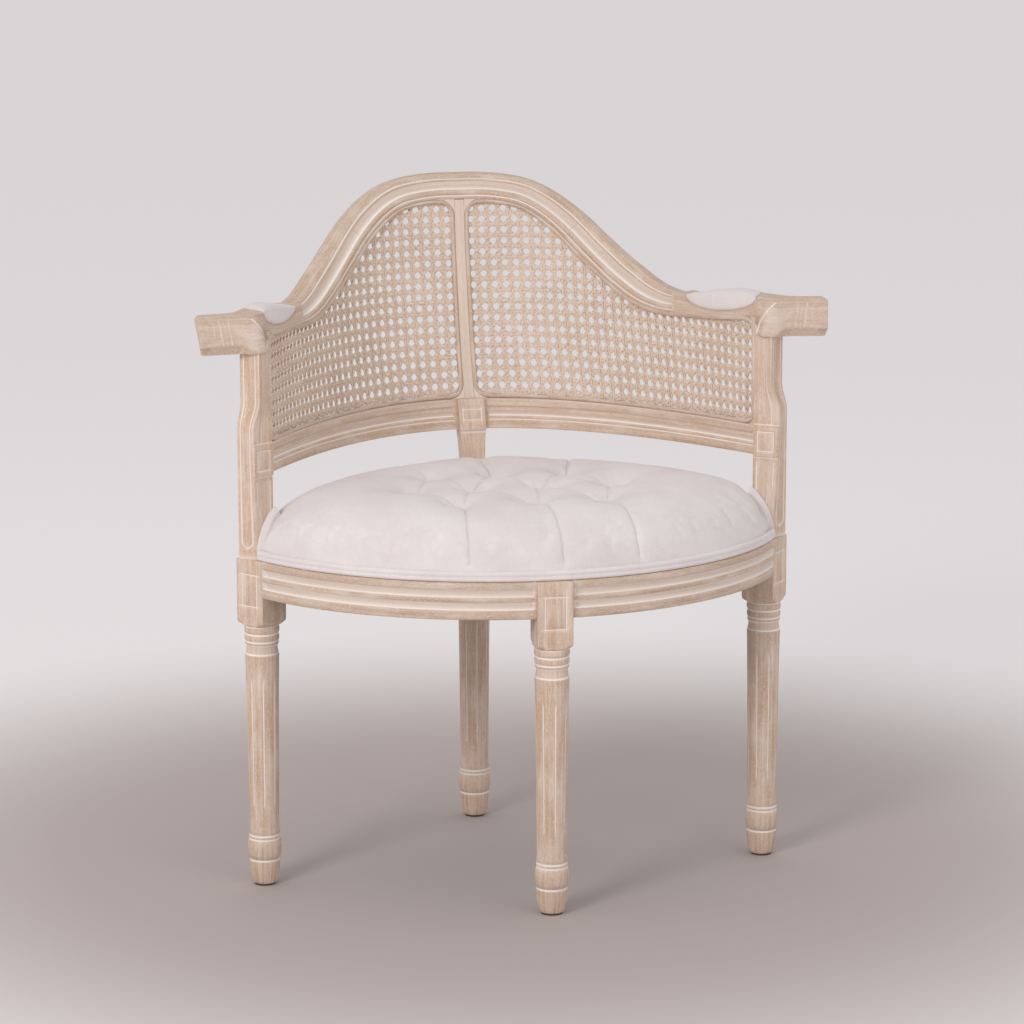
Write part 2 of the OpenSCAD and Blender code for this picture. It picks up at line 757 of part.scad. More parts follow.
module cushion_body() {
    inset = gimp_t + fit;
    n = cushion_spokes;
    dirs = [for (k = [0 : n - 1]) [cos(k * 360 / n), sin(k * 360 / n)]];
    reaches = [for (d = dirs) seat_reach(d, inset)];
    tops = [
        for (s = ring_shares, k = [0 : n - 1])
        let(p = seat_mid + s * reaches[k] * dirs[k])
        [p[0], p[1], cushion_top(p, (1 - s) * reaches[k])]
    ];
    foot = [
        for (k = [0 : n - 1])
        let(p = seat_mid + reaches[k] * dirs[k]) [p[0], p[1], cushion_base]
    ];
    rings = len(ring_shares);
    top_mid = (rings + 1) * n;
    faces = [
        for (r = [0 : rings - 1], k = [0 : n - 1])
        let(a = r * n + k, b = r * n + (k + 1) % n, c = (r + 1) * n + (k + 1) % n, d = (r + 1) * n + k)
        each [[a, b, c], [a, c, d]],
        for (k = [0 : n - 1]) [top_mid, (k + 1) % n, k],
        for (k = [0 : n - 1]) [top_mid + 1, rings * n + k, rings * n + (k + 1) % n]
    ];
    polyhedron(
        points = concat(tops, foot, [
            [seat_mid[0], seat_mid[1], cushion_top(seat_mid, cushion_edge)],
            [seat_mid[0], seat_mid[1], cushion_base]
        ]),
        faces = faces, convexity = 8
    );
}

// Space that the posts and the stile take out of the soft parts
module upright_spaces() {
    for (side = [0, 1])
        mirror([side, 0, 0])
            translate([0, 0, rail_top - over])
                linear_extrude(back_rail_bottom - rail_top)
                    offset(delta = fit) polygon(low_corners);
    translate([-stile_w * 0.53, stile_front_y - medallion_proud * 0.3 - fit, rail_top - over])
        cube([stile_w * 1.06, 3 * block_w, back_rail_bottom - rail_top]);
}

module seat_cushion() {
    color(linen) placed() difference() {
        cushion_body();
        upright_spaces();
    }
}

// Double welt of the gimp: shares of its thickness outwards and of its height
gimp_shares = [[0.6, 0], [1, 0.15], [1, 0.4], [0.75, 0.5], [1, 0.6], [1, 0.85], [0.6, 1], [0, 1], [0, 0.5], [0, 0]];
module seat_gimp() {
    n = 72;
    color(linen) placed() difference() {
        skin([
            for (k = [0 : n - 1])
            let(dir = [cos(-k * 360 / n), sin(-k * 360 / n)])
            [for (s = gimp_shares)
                let(p = seat_mid + seat_reach(dir, gimp_t * (1 - s[0])) * dir)
                [p[0], p[1], cushion_base + s[1] * (gimp_h - fit)]]
        ], closed = true);
        upright_spaces();
    }
}

// Lower back rail: reeded face, as shares of a reed's depth and of the rail's height
reed_depth = 2;
reed_shares = [[0, 0], [0, 0.3], [1, 0.36], [0.2, 0.44], [0.2, 0.52], [1, 0.6], [0, 0.66], [0, 1]];
module right_back_rail() {
    start = medallion_w / 2;
    count = 18;
    base_z = back_rail_bottom;
    difference() {
        skin([
            for (k = [0 : count])
            let(x = start + (back_half_w + bead_w / 2 - start) * k / count,
                out = back_out(x, base_z), s = min(x, back_half_w))
            concat(
                [for (r = reed_shares)
                    let(z = base_z + r[1] * back_rail_h)
                    back_point(s, z) + [x - s, 0, 0] + r[0] * reed_depth * out],
                [for (i = [len(reed_shares) - 1 : -1 : 0])
                    let(z = base_z + reed_shares[i][1] * back_rail_h)
                    back_point(s, z) + [x - s, 0, 0] + back_rail_t * out]
            )
        ]);
        post_side_cut();
    }
}
// Everything past the post's face that the back rails butt against
module post_side_cut() {
    edge = low_corners[3] - low_corners[2];
    translate([low_corners[2][0], low_corners[2][1], back_rail_bottom - over])
        rotate([0, 0, atan2(edge[1], edge[0])])
            translate([-block_w, -2 * block_w, 0])
                cube([3 * block_w, 2 * block_w, back_rail_h + 2 * over]);
}

module back_rail_right() {
    color(oak) placed() right_back_rail();
}

module back_rail_left() {
    color(oak) placed() mirrored() right_back_rail();
}

// Top rail section, front then rear from the panel outwards: shares of its width and depth
top_front_shares = [
    [0.16, 0], [0.24, 0.02], [0.28, 0.08], [0.37, 0.06], [0.48, 0.11], [0.56, 0.23], [0.66, 0.31],
    [0.74, 0.3], [0.87, 0.4], [0.98, 0.57]
];
top_rear_shares = [
    [0.16, 0.7], [0.26, 0.9], [0.37, 0.98], [0.48, 1], [0.56, 1], [0.66, 0.99], [0.76, 0.96],
    [0.87, 0.92], [0.96, 0.84], [1, 0.7]
];
function top_rail_ring(x) =
    let(side = x < 0 ? -1 : 1)
    [
        for (s = concat(top_front_shares, [for (i = [9 : -1 : 0]) top_rear_shares[i]]))
        let(p = open_spot(abs(x), bead_w + (s[0] - 0.16) / 0.84 * (top_rail_w - bead_w), s[1] * top_rail_t))
        [side * p[0], p[1], p[2]]
    ];
module top_rail(from, upto, count) {
    skin([for (k = [0 : count]) top_rail_ring(from + (upto - from) * k / count)]);
}

// Dowels across the joints of the top rail, on the right
module top_joint_dowels(grow) {
    for (x = [crest_half_w, arm_joint_x]) {
        here = open_spot(x, top_rail_w * 0.55, top_rail_t * 0.62);
        run = unit(cross(back_out(x, open_z(x)), open_up(x)));
        translate(here)
            rotate([0, acos(run[2]), atan2(run[1], run[0])])
                cylinder(d = dowel_d + 2 * grow, h = dowel_h + 2 * grow, center = true, $fn = 24);
    }
}

module crest() {
    color(oak) placed() difference() {
        top_rail(-crest_half_w + fit / 4, crest_half_w - fit / 4, 28);
        top_joint_dowels(dowel_gap);
        mirrored() top_joint_dowels(dowel_gap);
    }
}

module right_shoulder() {
    difference() {
        top_rail(crest_half_w + fit / 4, arm_joint_x - fit / 4, 14);
        top_joint_dowels(dowel_gap);
    }
}

module shoulder_right() {
    color(oak) placed() right_shoulder();
}

module shoulder_left() {
    color(oak) placed() mirrored() right_shoulder();
}

module top_rail_dowels() {
    color("#c8a878") placed() {
        top_joint_dowels(0);
        mirrored() top_joint_dowels(0);
    }
}

// Arm's front and rear sides seen from above: along the panel, then out past the post. The
// front flare is in shares of the arm's reach outwards and forwards, the rear flare in shares
// of its reach outwards and of its depth behind the panel's end.
arm_flare_shares = [[0, 0], [0.12, 0.39], [0.31, 0.58], [0.58, 0.73], [1, 1]];
arm_rear_flare_shares = [[0.5, 0.42], [0.57, 0.27], [0.67, 0.19], [0.82, 0.13], [1.14, 0.1]];
arm_bend_shares = [0, 0.28, 0.55, 0.8];
arm_joint_x = back_half_w - arm_joint_in;
arm_start_x = arm_joint_x + fit / 4;
arm_bend_x = [for (s = arm_bend_shares) arm_start_x + (back_half_w - arm_start_x) * s];
arm_front_points = concat(
    [for (x = arm_bend_x) [x, back_y(x, open_z(x))]],
    [for (s = arm_flare_shares) [back_half_w + s[0] * arm_reach, back_end_y - s[1] * arm_forward]]
);
arm_rear_points = concat(
    [for (x = arm_bend_x) let(p = back_point(x, open_z(x)) + arm_t * back_out(x, open_z(x))) [p[0], p[1]]],
    [for (s = arm_rear_flare_shares) [back_half_w + s[0] * arm_reach, back_end_y + s[1] * arm_t]]
);
arm_knots = len(arm_front_points) - 1;
function path_at(points, u) =
    [for (i = [0, 1]) curve_at([for (k = [0 : arm_knots]) [k, points[k][i]]], u)];
function arm_spot(u) = path_at(arm_front_points, u);
// Level slope of the arm's first section, which lies on the end of the shoulder
arm_start_up = open_up(arm_start_x);
arm_start_slope = [arm_start_up[0], arm_start_up[1]] / arm_start_up[2];
arm_top_z = post_top + arm_h;
// Height of the arm's top, in shares of the rise from the shoulder to the arm's full height
arm_top_shares = [[0, 0], [1, 0.05], [2, 0.4], [3, 0.8], [4, 0.95], [5, 1], [arm_knots, 0.92]];
arm_low_top = arm_open_z + top_rail_w * 0.8;
function arm_top(u) = arm_low_top + (arm_top_z - arm_low_top) * curve_at(arm_top_shares, u);
function arm_bottom(u) =
    u <= 4 ? open_z(min(arm_spot(u)[0], back_half_w)) + bead_w
    : lookup(u, [[4, open_z(back_half_w) + bead_w], [4.6, post_top], [arm_knots, post_top]]);
// How far the arm's face leans back at its top
arm_lean = arm_t * 0.3;
function lean(u) = arm_lean * clamp01(u / arm_knots + 0.1);
function arm_place(u, depth, height) =
    let(front = arm_spot(u), rear = path_at(arm_rear_points, u),
        tilt = (height - open_z(arm_start_x)) * max(1 - u / pad_from, 0),
        p = front + depth / arm_t * (rear - front) + tilt * arm_start_slope)
    [p[0], p[1], height];

// Arm pad: a saddle let into the top of the arm, between two places along it
pad_from = 0.5;
pad_to = 4.7;
pad_drop = arm_h * 0.4;
pad_rings = 16;
function pad_round(u) =
    let(s = (u - pad_from) / (pad_to - pad_from))
    s < -0.001 || s > 1.001 ? 0 : sqrt(max(1 - pow(2 * s - 1, 2), 0.01));
function pad_place(k) = pad_from + (pad_to - pad_from) * (1 - cos(180 * k / pad_rings)) / 2;

// Half of the arm's section from the bottom up, for its front or its rear: the ledge under
// the pad, the rebate behind it and the top. Each point is [depth from that side, height].
function arm_side(u, slope) =
    let(low = arm_bottom(u), high = arm_top(u), h = high - low, e = pad_round(u), t = pad_t * e,
        ledge = high - min(max(pad_drop * e, h * 0.12), h * 0.8), at_ledge = slope * (ledge - low) / h)
    [
        [arm_t * 0.2, low],
        [0, low + h * 0.16],
        [slope * 0.45, low + h * 0.45],
        [at_ledge, ledge],
        [at_ledge + t + fit, ledge],
        [slope + t + fit, high - t - h * 0.05],
        [slope + t + arm_t * 0.12, high - t]
    ];
function arm_ring(u) =
    let(front = arm_side(u, lean(u)), rear = arm_side(u, 0), n = len(front))
    concat(
        [for (p = front) arm_place(u, p[0], p[1])],
        [for (i = [n - 1 : -1 : 0]) arm_place(u, arm_t - rear[i][0], rear[i][1])]
    );
// Stations of the arm match the pad's, so that the pad lies evenly in its rebate
arm_stations = concat(
    [0, pad_from / 2],
    [for (k = [0 : pad_rings]) pad_place(k)],
    [for (k = [1 : 12]) pad_to + (arm_knots - pad_to) * k / 12]
);

// Outer side of the pad from its front edge over to its rear edge: depth as a share between
// the arm's two faces, share of the drop below the arm's top, share of the crown over it
pad_bulge = pad_t * 0.3;
pad_over_shares = [[0, 0.1, 0.1], [0.12, 0, 0.7], [0.35, 0, 1], [0.65, 0, 1], [0.88, 0, 0.7], [1, 0.1, 0.1]];
function pad_ring(u) =
    let(
        front = arm_side(u, lean(u)), rear = arm_side(u, 0), e = pad_round(u),
        ledge = front[3][1], high = arm_top(u), front_in = front[3][0],
        drop = high - ledge, bulge = pad_bulge * e,
        face = lean(u), span = arm_t - face
    )
    [
        arm_place(u, front_in, ledge + fit),
        arm_place(u, front_in - bulge, ledge + drop * 0.3 + fit),
        for (q = pad_over_shares)
            arm_place(u, face + q[0] * span, high - q[1] * drop + q[2] * pad_crown * e + fit),
        arm_place(u, arm_t + bulge, ledge + drop * 0.3 + fit),
        arm_place(u, arm_t, ledge + fit),
        arm_place(u, arm_t - rear[4][0] + fit, ledge + fit),
        arm_place(u, arm_t - rear[5][0] + fit, rear[5][1]),
        arm_place(u, arm_t - rear[5][0], rear[5][1] + fit),
        arm_place(u, arm_t - rear[6][0], rear[6][1] + fit),
        arm_place(u, arm_t / 2, rear[6][1] + fit),
        arm_place(u, arm_t / 2 - fit, front[6][1] + fit),
        arm_place(u, front[6][0], front[6][1] + fit),
        arm_place(u, front[5][0], front[5][1] + fit),
        arm_place(u, front[5][0] - fit, front[5][1]),
        arm_place(u, front[4][0] - fit, ledge + fit)
    ];
module right_pad() {
    skin([for (k = [0 : pad_rings]) pad_ring(pad_place(k))]);
}

module right_arm() {
    difference() {
        union() {
            skin([for (u = arm_stations) arm_ring(u)]);
            translate([0, 0, post_top]) linear_extrude(arm_h / 2) polygon(high_corners);
        }
        top_joint_dowels(dowel_gap);
    }
}

module arm_right() {
    color(oak) placed() right_arm();
}

module arm_left() {
    color(oak) placed() mirrored() right_arm();
}

module arm_pad_right() {
    color(linen) placed() right_pad();
}

module arm_pad_left() {
    color(linen) placed() mirrored() right_pad();
}

// Bead round a panel: stations along the panel's edge, each [place, height, outward, up],
// where outward and up are measured in the back's face, which leans under the panel
bead_top_count = 20;
bead_low_count = 14;
function bead_station(x, z, outward, up) =
    let(out = back_out(x, z), along = [out[1], -out[0], 0],
        rise = up < 0 ? (back_point(x, z) - back_point(x, z - probe)) / probe : [0, 0, 1])
    [back_point(x, z), outward * along + up * rise, out];
function bead_slope(x) =
    (open_z(x + probe) - open_z(x - probe))
    / norm([2 * probe, back_y(x + probe, open_z(x)) - back_y(x - probe, open_z(x))]);
// Place along the panel at a share of its length, closer together towards the post
function panel_x(s) = open_in_x + (open_out_x - open_in_x) * (1.45 * s - 0.45 * pow(s, 2));
// Upright runs of the bead, at a share of the opening's height
bead_side_count = 7;
function bead_side_station(x, s, outward) =
    bead_station(x, open_bottom + (open_z(x) - open_bottom) * s, outward, 0);
bead_stations = concat(
    [bead_station(open_in_x, open_bottom, -1, -1)],
    [for (k = [1 : bead_low_count - 1]) bead_station(panel_x(k / bead_low_count), open_bottom, 0, -1)],
    [bead_station(open_out_x, open_bottom, 1, -1)],
    [for (k = [1 : bead_side_count - 1]) bead_side_station(open_out_x, k / bead_side_count, 1)],
    [bead_station(open_out_x, open_z(open_out_x), 1, 1)],
    [for (k = [bead_top_count - 1 : -1 : 1])
        let(x = panel_x(k / bead_top_count), way = unit([-bead_slope(x), 1]))
        bead_station(x, open_z(x), way[0], way[1])],
    [bead_station(open_in_x, open_z(open_in_x), -1, 1)],
    [for (k = [bead_side_count - 1 : -1 : 1]) bead_side_station(open_in_x, k / bead_side_count, -1)]
);
// Bead section: shares of its width outwards and back from the wood's face
bead_shares = [[0, 0.7], [0, 0.1], [0.25, -0.15], [0.72, -0.15], [0.95, 0.1], [0.95, 0.7]];
module right_spline() {
    skin([
        for (st = bead_stations)
        [for (s = bead_shares) st[0] + s[0] * bead_w * st[1] + s[1] * bead_w * st[2]]
    ], closed = true);
}

module spline_right() {
    color(oak) placed() right_spline();
}

module spline_left() {
    color(oak) placed() mirrored() right_spline();
}

// Cane panel: a net of square holes behind the bead. Its columns stand at equal steps along
// the curve, and each column has as many whole holes as its height takes.
cane_over = bead_w - fit;
// The cane lies far enough behind the bead for its flat facets to clear the bead's curve
cane_depth = bead_w * 0.7 + 3 * fit;
cane_steps = 60;
walk_z = (open_bottom + arm_open_z) / 2;
walk_x = [for (k = [0 : cane_steps]) open_in_x + (open_out_x - open_in_x) * k / cane_steps];
function walk_step(k) =
    norm([walk_x[k] - walk_x[k - 1], back_y(walk_x[k], walk_z) - back_y(walk_x[k - 1], walk_z)]);
// Running length of the curve at each step
walk_length = [
    for (k = 0, sum = 0; k <= cane_steps; k = k + 1, sum = sum + (k <= cane_steps ? walk_step(k) : 0)) sum
];
walk_table = [for (k = [0 : cane_steps]) [walk_length[k], walk_x[k]]];
cane_length = walk_length[cane_steps];
cane_columns = round((cane_length + 2 * cane_over) / cane_pitch);
column_step = (cane_length + 2 * cane_over) / cane_columns;
function cane_x(c) =
    let(s = c * column_step - cane_over)
    s < 0 ? open_in_x + s
    : s > cane_length ? open_out_x + (s - cane_length) * back_out(open_out_x, walk_z)[1]
    : lookup(s, walk_table);
function cane_point(x, z, depth) =
    let(inside = min(x, open_out_x), out = back_out(inside, z),
        past = (x - inside) / max(out[1], 0.1))
    back_point(inside, z) + past * [out[1], -out[0], 0] + depth * out;
cane_low_z = open_bottom - cane_over;
function cane_high_z(x) =
    let(inside = min(max(x, open_in_x), open_out_x))
    open_z(inside) + cane_over * norm([1, bead_slope(inside)]);
cane_row_h = column_step;
function raw_rows(c) =
    floor((min(cane_high_z(cane_x(c)), cane_high_z(cane_x(c + 1))) - cane_low_z) / cane_row_h - 0.15);
cane_rows = [for (c = [0 : cane_columns - 1]) min([for (k = [0 : c]) raw_rows(k)])];
function edge_rows(b) = cane_rows[max(b - 1, 0)];
// Place of each column edge's first point in the list: its grid points, then its top point
edge_first = [for (b = 0, sum = 0; b <= cane_columns + 1; sum = sum + (b <= cane_columns ? edge_rows(b) + 2 : 0), b = b + 1) sum];
grid_total = edge_first[cane_columns + 1];
cell_first = [for (c = 0, sum = 0; c <= cane_columns; sum = sum + (c < cane_columns ? cane_rows[c] : 0), c = c + 1) sum];

function grid_points(depth) = [
    for (b = [0 : cane_columns])
    each [
        for (r = [0 : edge_rows(b)]) cane_point(cane_x(b), cane_low_z + r * cane_row_h, depth),
        cane_point(cane_x(b), cane_high_z(cane_x(b)), depth)
    ]
];
hole_corners = [[-1, -1], [1, -1], [1, 1], [-1, 1]];
function hole_points(depth) = [
    for (c = [0 : cane_columns - 1], r = [0 : cane_rows[c] - 1], q = hole_corners)
    let(x0 = cane_x(c), x1 = cane_x(c + 1),
        x = (x0 + x1) / 2 + q[0] * hole_share * (x1 - x0) / 2,
        z = cane_low_z + (r + 0.5 + q[1] * hole_share / 2) * cane_row_h)
    cane_point(x, z, depth)
];

module right_cane() {
    holes = cell_first[cane_columns] * 4;
    back = grid_total + holes;
    function g(b, r) = edge_first[b] + r;
    function top(b) = edge_first[b] + edge_rows(b) + 1;
    function h(c, r, q) = grid_total + (cell_first[c] + r) * 4 + q;
    function quad(a, b, c, d) = [[a, b, c], [a, c, d]];
    // faces seen from the front, and the same seen from behind
    front = [
        for (c = [0 : cane_columns - 1], r = [0 : cane_rows[c] - 1])
        let(corner = [g(c, r), g(c + 1, r), g(c + 1, r + 1), g(c, r + 1)])
        for (q = [0 : 3])
        each quad(corner[q], h(c, r, q), h(c, r, (q + 1) % 4), corner[(q + 1) % 4])
    ];
    band = [
        for (c = [0 : cane_columns - 1])
        let(pivot = g(c + 1, cane_rows[c]),
            round = concat([top(c + 1), top(c)], [for (r = [edge_rows(c) : -1 : cane_rows[c]]) g(c, r)]))
        for (i = [0 : len(round) - 2]) [pivot, round[i + 1], round[i]]
    ];
    face = concat(front, band);
    walls = [
        for (c = [0 : cane_columns - 1], r = [0 : cane_rows[c] - 1], q = [0 : 3])
        let(a = h(c, r, q), b = h(c, r, (q + 1) % 4))
        each quad(a, a + back, b + back, b)
    ];
    rim_chain = concat(
        [for (b = [0 : cane_columns]) g(b, 0)],
        [for (r = [1 : edge_rows(cane_columns)]) g(cane_columns, r)],
        [for (b = [cane_columns : -1 : 0]) top(b)],
        [for (r = [edge_rows(0) : -1 : 1]) g(0, r)]
    );
    rim = [
        for (i = [0 : len(rim_chain) - 1])
        let(a = rim_chain[i], b = rim_chain[(i + 1) % len(rim_chain)])
        each quad(a, b, b + back, a + back)
    ];
    polyhedron(
        points = concat(
            grid_points(cane_depth), hole_points(cane_depth),
            grid_points(cane_depth + cane_t), hole_points(cane_depth + cane_t)
        ),
        faces = concat(face, [for (f = face) [f[0] + back, f[2] + back, f[1] + back]], walls, rim),
        convexity = 10
    );
}

module cane_right() {
    color("#cfae8c") placed() right_cane();
}

module cane_left() {
    color("#cfae8c") placed() mirrored() right_cane();
}

leg_front();
leg_left();
leg_right();
leg_rear();
foot_glides();
front_rail_left();
front_rail_right();
rear_rail_left();
rear_rail_right();
rail_dowels();
corner_blocks();
corner_bolts();
corner_washers();
seat_screws();
seat_board();
dust_cover();
seat_cushion();
seat_gimp();
back_rail_left();
back_rail_right();
back_muntin();
crest();
shoulder_left();
shoulder_right();
top_rail_dowels();
arm_left();
arm_right();
arm_pad_left();
arm_pad_right();
cane_left();
cane_right();
spline_left();
spline_right();
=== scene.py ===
# %% [markdown]
# A corner chair stands on four turned legs, one of them in front. This lesson loads its packed
# CAD model as a fixed frame and dresses every part in limed oak, woven cane and linen.

# %% Load the frame
import math
import bpy
import bmesh
import numpy as np
from mathutils import Matrix, Vector


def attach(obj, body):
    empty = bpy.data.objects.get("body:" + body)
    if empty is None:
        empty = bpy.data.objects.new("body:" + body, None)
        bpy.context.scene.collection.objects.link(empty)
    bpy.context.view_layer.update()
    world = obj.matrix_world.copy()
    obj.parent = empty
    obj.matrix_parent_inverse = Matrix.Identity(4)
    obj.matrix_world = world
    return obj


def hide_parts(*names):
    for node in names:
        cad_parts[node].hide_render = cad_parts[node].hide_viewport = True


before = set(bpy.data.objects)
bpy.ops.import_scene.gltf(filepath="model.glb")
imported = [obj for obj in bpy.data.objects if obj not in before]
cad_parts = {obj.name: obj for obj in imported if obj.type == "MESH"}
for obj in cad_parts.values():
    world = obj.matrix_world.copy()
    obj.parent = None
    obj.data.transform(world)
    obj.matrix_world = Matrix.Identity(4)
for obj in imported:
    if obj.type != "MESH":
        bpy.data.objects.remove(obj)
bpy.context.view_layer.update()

# %% [markdown]
# The photograph was taken from the left of the front leg with a long lens. Its position and
# turn were worked out from the legs, which stand on a known square.

# %% Place the camera
yaw, pitch, roll = (math.radians(a) for a in (12.149, 10.821, 0.069))
level = math.cos(pitch)
forward = Vector((math.sin(yaw) * level, math.cos(yaw) * level, -math.sin(pitch)))
level_right = Vector((math.cos(yaw), -math.sin(yaw), 0))
down = forward.cross(level_right)
camera_right = math.cos(roll) * level_right + math.sin(roll) * down
camera_down = math.cos(roll) * down - math.sin(roll) * level_right
camera_data = bpy.data.cameras.new("photo_camera")
camera_data.lens = 138.08
camera_data.sensor_width = 36
camera = bpy.data.objects.new("photo_camera", camera_data)
bpy.context.scene.collection.objects.link(camera)
turn = Matrix((camera_right, -camera_down, -forward)).transposed().to_4x4()
camera_place = Vector((-1.0056, -4.7313, 1.3630))
camera.matrix_world = Matrix.Translation(camera_place) @ turn
camera_data.clip_end = 100
bpy.context.scene.camera = camera
print("camera", round(camera_place.length, 2), "m from the middle of the floor under the chair")

# %% [markdown]
# All lengths below are the maker's millimetres, measured from the line between the side legs,
# as in the CAD source. One helper moves them to the frame, in metres. Curves are given by a
# few shares, as a draughtsman gives a few heights, and joined smoothly.

# %% Lengths and curves of the chair
SHIFT = np.array([0, -83.96, 0])
BLOCK_W, BLOCK_BOTTOM, RAIL_TOP, RAIL_H, RAIL_T = 43, 328, 411, 45, 24
HALF_BLOCK = BLOCK_W / 2
SIDE_LEG_X, FRONT_LEG_Y, REAR_LEG_Y = 318, 201, 260
BLOCK_ANGLE = math.radians(38)
BACK_END_Y, BACK_HALF_W = 5.16, 304
BACK_RAIL_BOTTOM, BACK_RAIL_TOP, BACK_RAIL_T = 514, 551, 20
BEAD_W, MUNTIN_W = 5.8, 13
OPEN_BOTTOM = BACK_RAIL_TOP + BEAD_W
OPEN_IN_X = MUNTIN_W / 2 + BEAD_W
OPEN_OUT_X = BACK_HALF_W - 0.6 * BEAD_W
TOP_RAIL_W = 38
CREST_HALF_W, ARM_JOINT_X = 127, 237
OPEN_LOW_Z, OPEN_HIGH_Z = 668.5, 798
STILE_FOOT_Y, STILE_LEAN, STILE_H = 243.5, 109, 427
POST_TOP, ARM_H, ARM_T = 663, 48, 42
# Every side piece is made for the right and then mirrored
SIDES = (("right", False), ("left", True))


def to_frame(points):
    """Maker's millimetres to metres in the frame."""
    return (np.asarray(points, float) + SHIFT) * 0.001


def curve_at(table, place):
    """A smooth curve through a table of places and values."""
    table = np.array(table, float)
    at, value = table[:, 0], table[:, 1]
    low = np.maximum(np.arange(len(at)) - 1, 0)
    high = np.minimum(np.arange(len(at)) + 1, len(at) - 1)
    slope = (value[high] - value[low]) / (at[high] - at[low])
    s = np.clip(place, at[0], at[-1])
    i = np.clip(np.searchsorted(at, s, side="right") - 1, 0, len(at) - 2)
    h = at[i + 1] - at[i]
    u = (s - at[i]) / h
    return ((2 * u**3 - 3 * u**2 + 1) * value[i] + (u**3 - 2 * u**2 + u) * h * slope[i]
            + (3 * u**2 - 2 * u**3) * value[i + 1] + (u**3 - u**2) * h * slope[i + 1])


def unit(v):
    """Vectors brought to length one."""
    return v / np.maximum(np.linalg.norm(v, axis=-1, keepdims=True), 1e-9)


STILE_SHARES = [(0, 0), (0.16, 0.13), (0.27, 0.27), (0.38, 0.45), (0.48, 0.60), (0.63, 0.76),
                (0.79, 0.90), (0.9, 0.96), (1.03, 1)]
OPEN_SHARES = [(0, 1), (0.08, 1), (0.16, 0.985), (0.25, 0.94), (0.33, 0.83), (0.41, 0.66),
               (0.49, 0.445), (0.58, 0.22), (0.66, 0.065), (0.74, 0), (0.82, 0.01),
               (0.9, 0.04), (1, 0.095)]


def stile_y(z):
    return STILE_FOOT_Y + STILE_LEAN * curve_at(STILE_SHARES, (np.asarray(z, float) - RAIL_TOP) / STILE_H)


def back_y(x, z):
    fullness = 2 + 0.6 * np.clip((z - BACK_RAIL_TOP) / (OPEN_LOW_Z - BACK_RAIL_TOP), 0, 1)
    share = np.clip(np.abs(x) / BACK_HALF_W, 0, 1)
    return BACK_END_Y + (stile_y(z) - BACK_END_Y) * (1 - share**fullness)


def back_point(x, z):
    x, z = np.broadcast_arrays(np.asarray(x, float), np.asarray(z, float))
    return np.stack([x, back_y(x, z), z], -1)


def back_out(x, z):
    """Level direction straight back out of the chair's back."""
    side = np.sign(x)
    s = np.clip(np.abs(x), 0.5, BACK_HALF_W - 0.5)
    slope = back_y(s + 0.5, z) - back_y(s - 0.5, z)
    out = np.stack([-slope * side, np.ones_like(slope), np.zeros_like(slope)], -1)
    return unit(out)


def open_z(x):
    return OPEN_LOW_Z + (OPEN_HIGH_Z - OPEN_LOW_Z) * curve_at(OPEN_SHARES, np.abs(x) / BACK_HALF_W)


def open_point(x):
    return back_point(x, open_z(x))


def open_up(x):
    along = unit(open_point(x + 0.5) - open_point(x - 0.5))
    return unit(np.cross(along, back_out(x, open_z(x))))


print("panel opening", OPEN_BOTTOM, "to", float(open_z(0.0)), "mm high in the middle")

# %% [markdown]
# Nearly every wooden part of this chair is a moulding: one section carried along a path. So
# one builder makes them all. It joins rings of points into a closed skin, and stores with each
# point its place along the grain and how much white liming wax lies there, because the wax
# stays in grooves. Materials read both, so the grain follows every curve.

# %% Builder for skins of rings
# Wax is stored raised to this power, which keeps it narrow at the bottom of a groove
WAX_FALL = 1.8


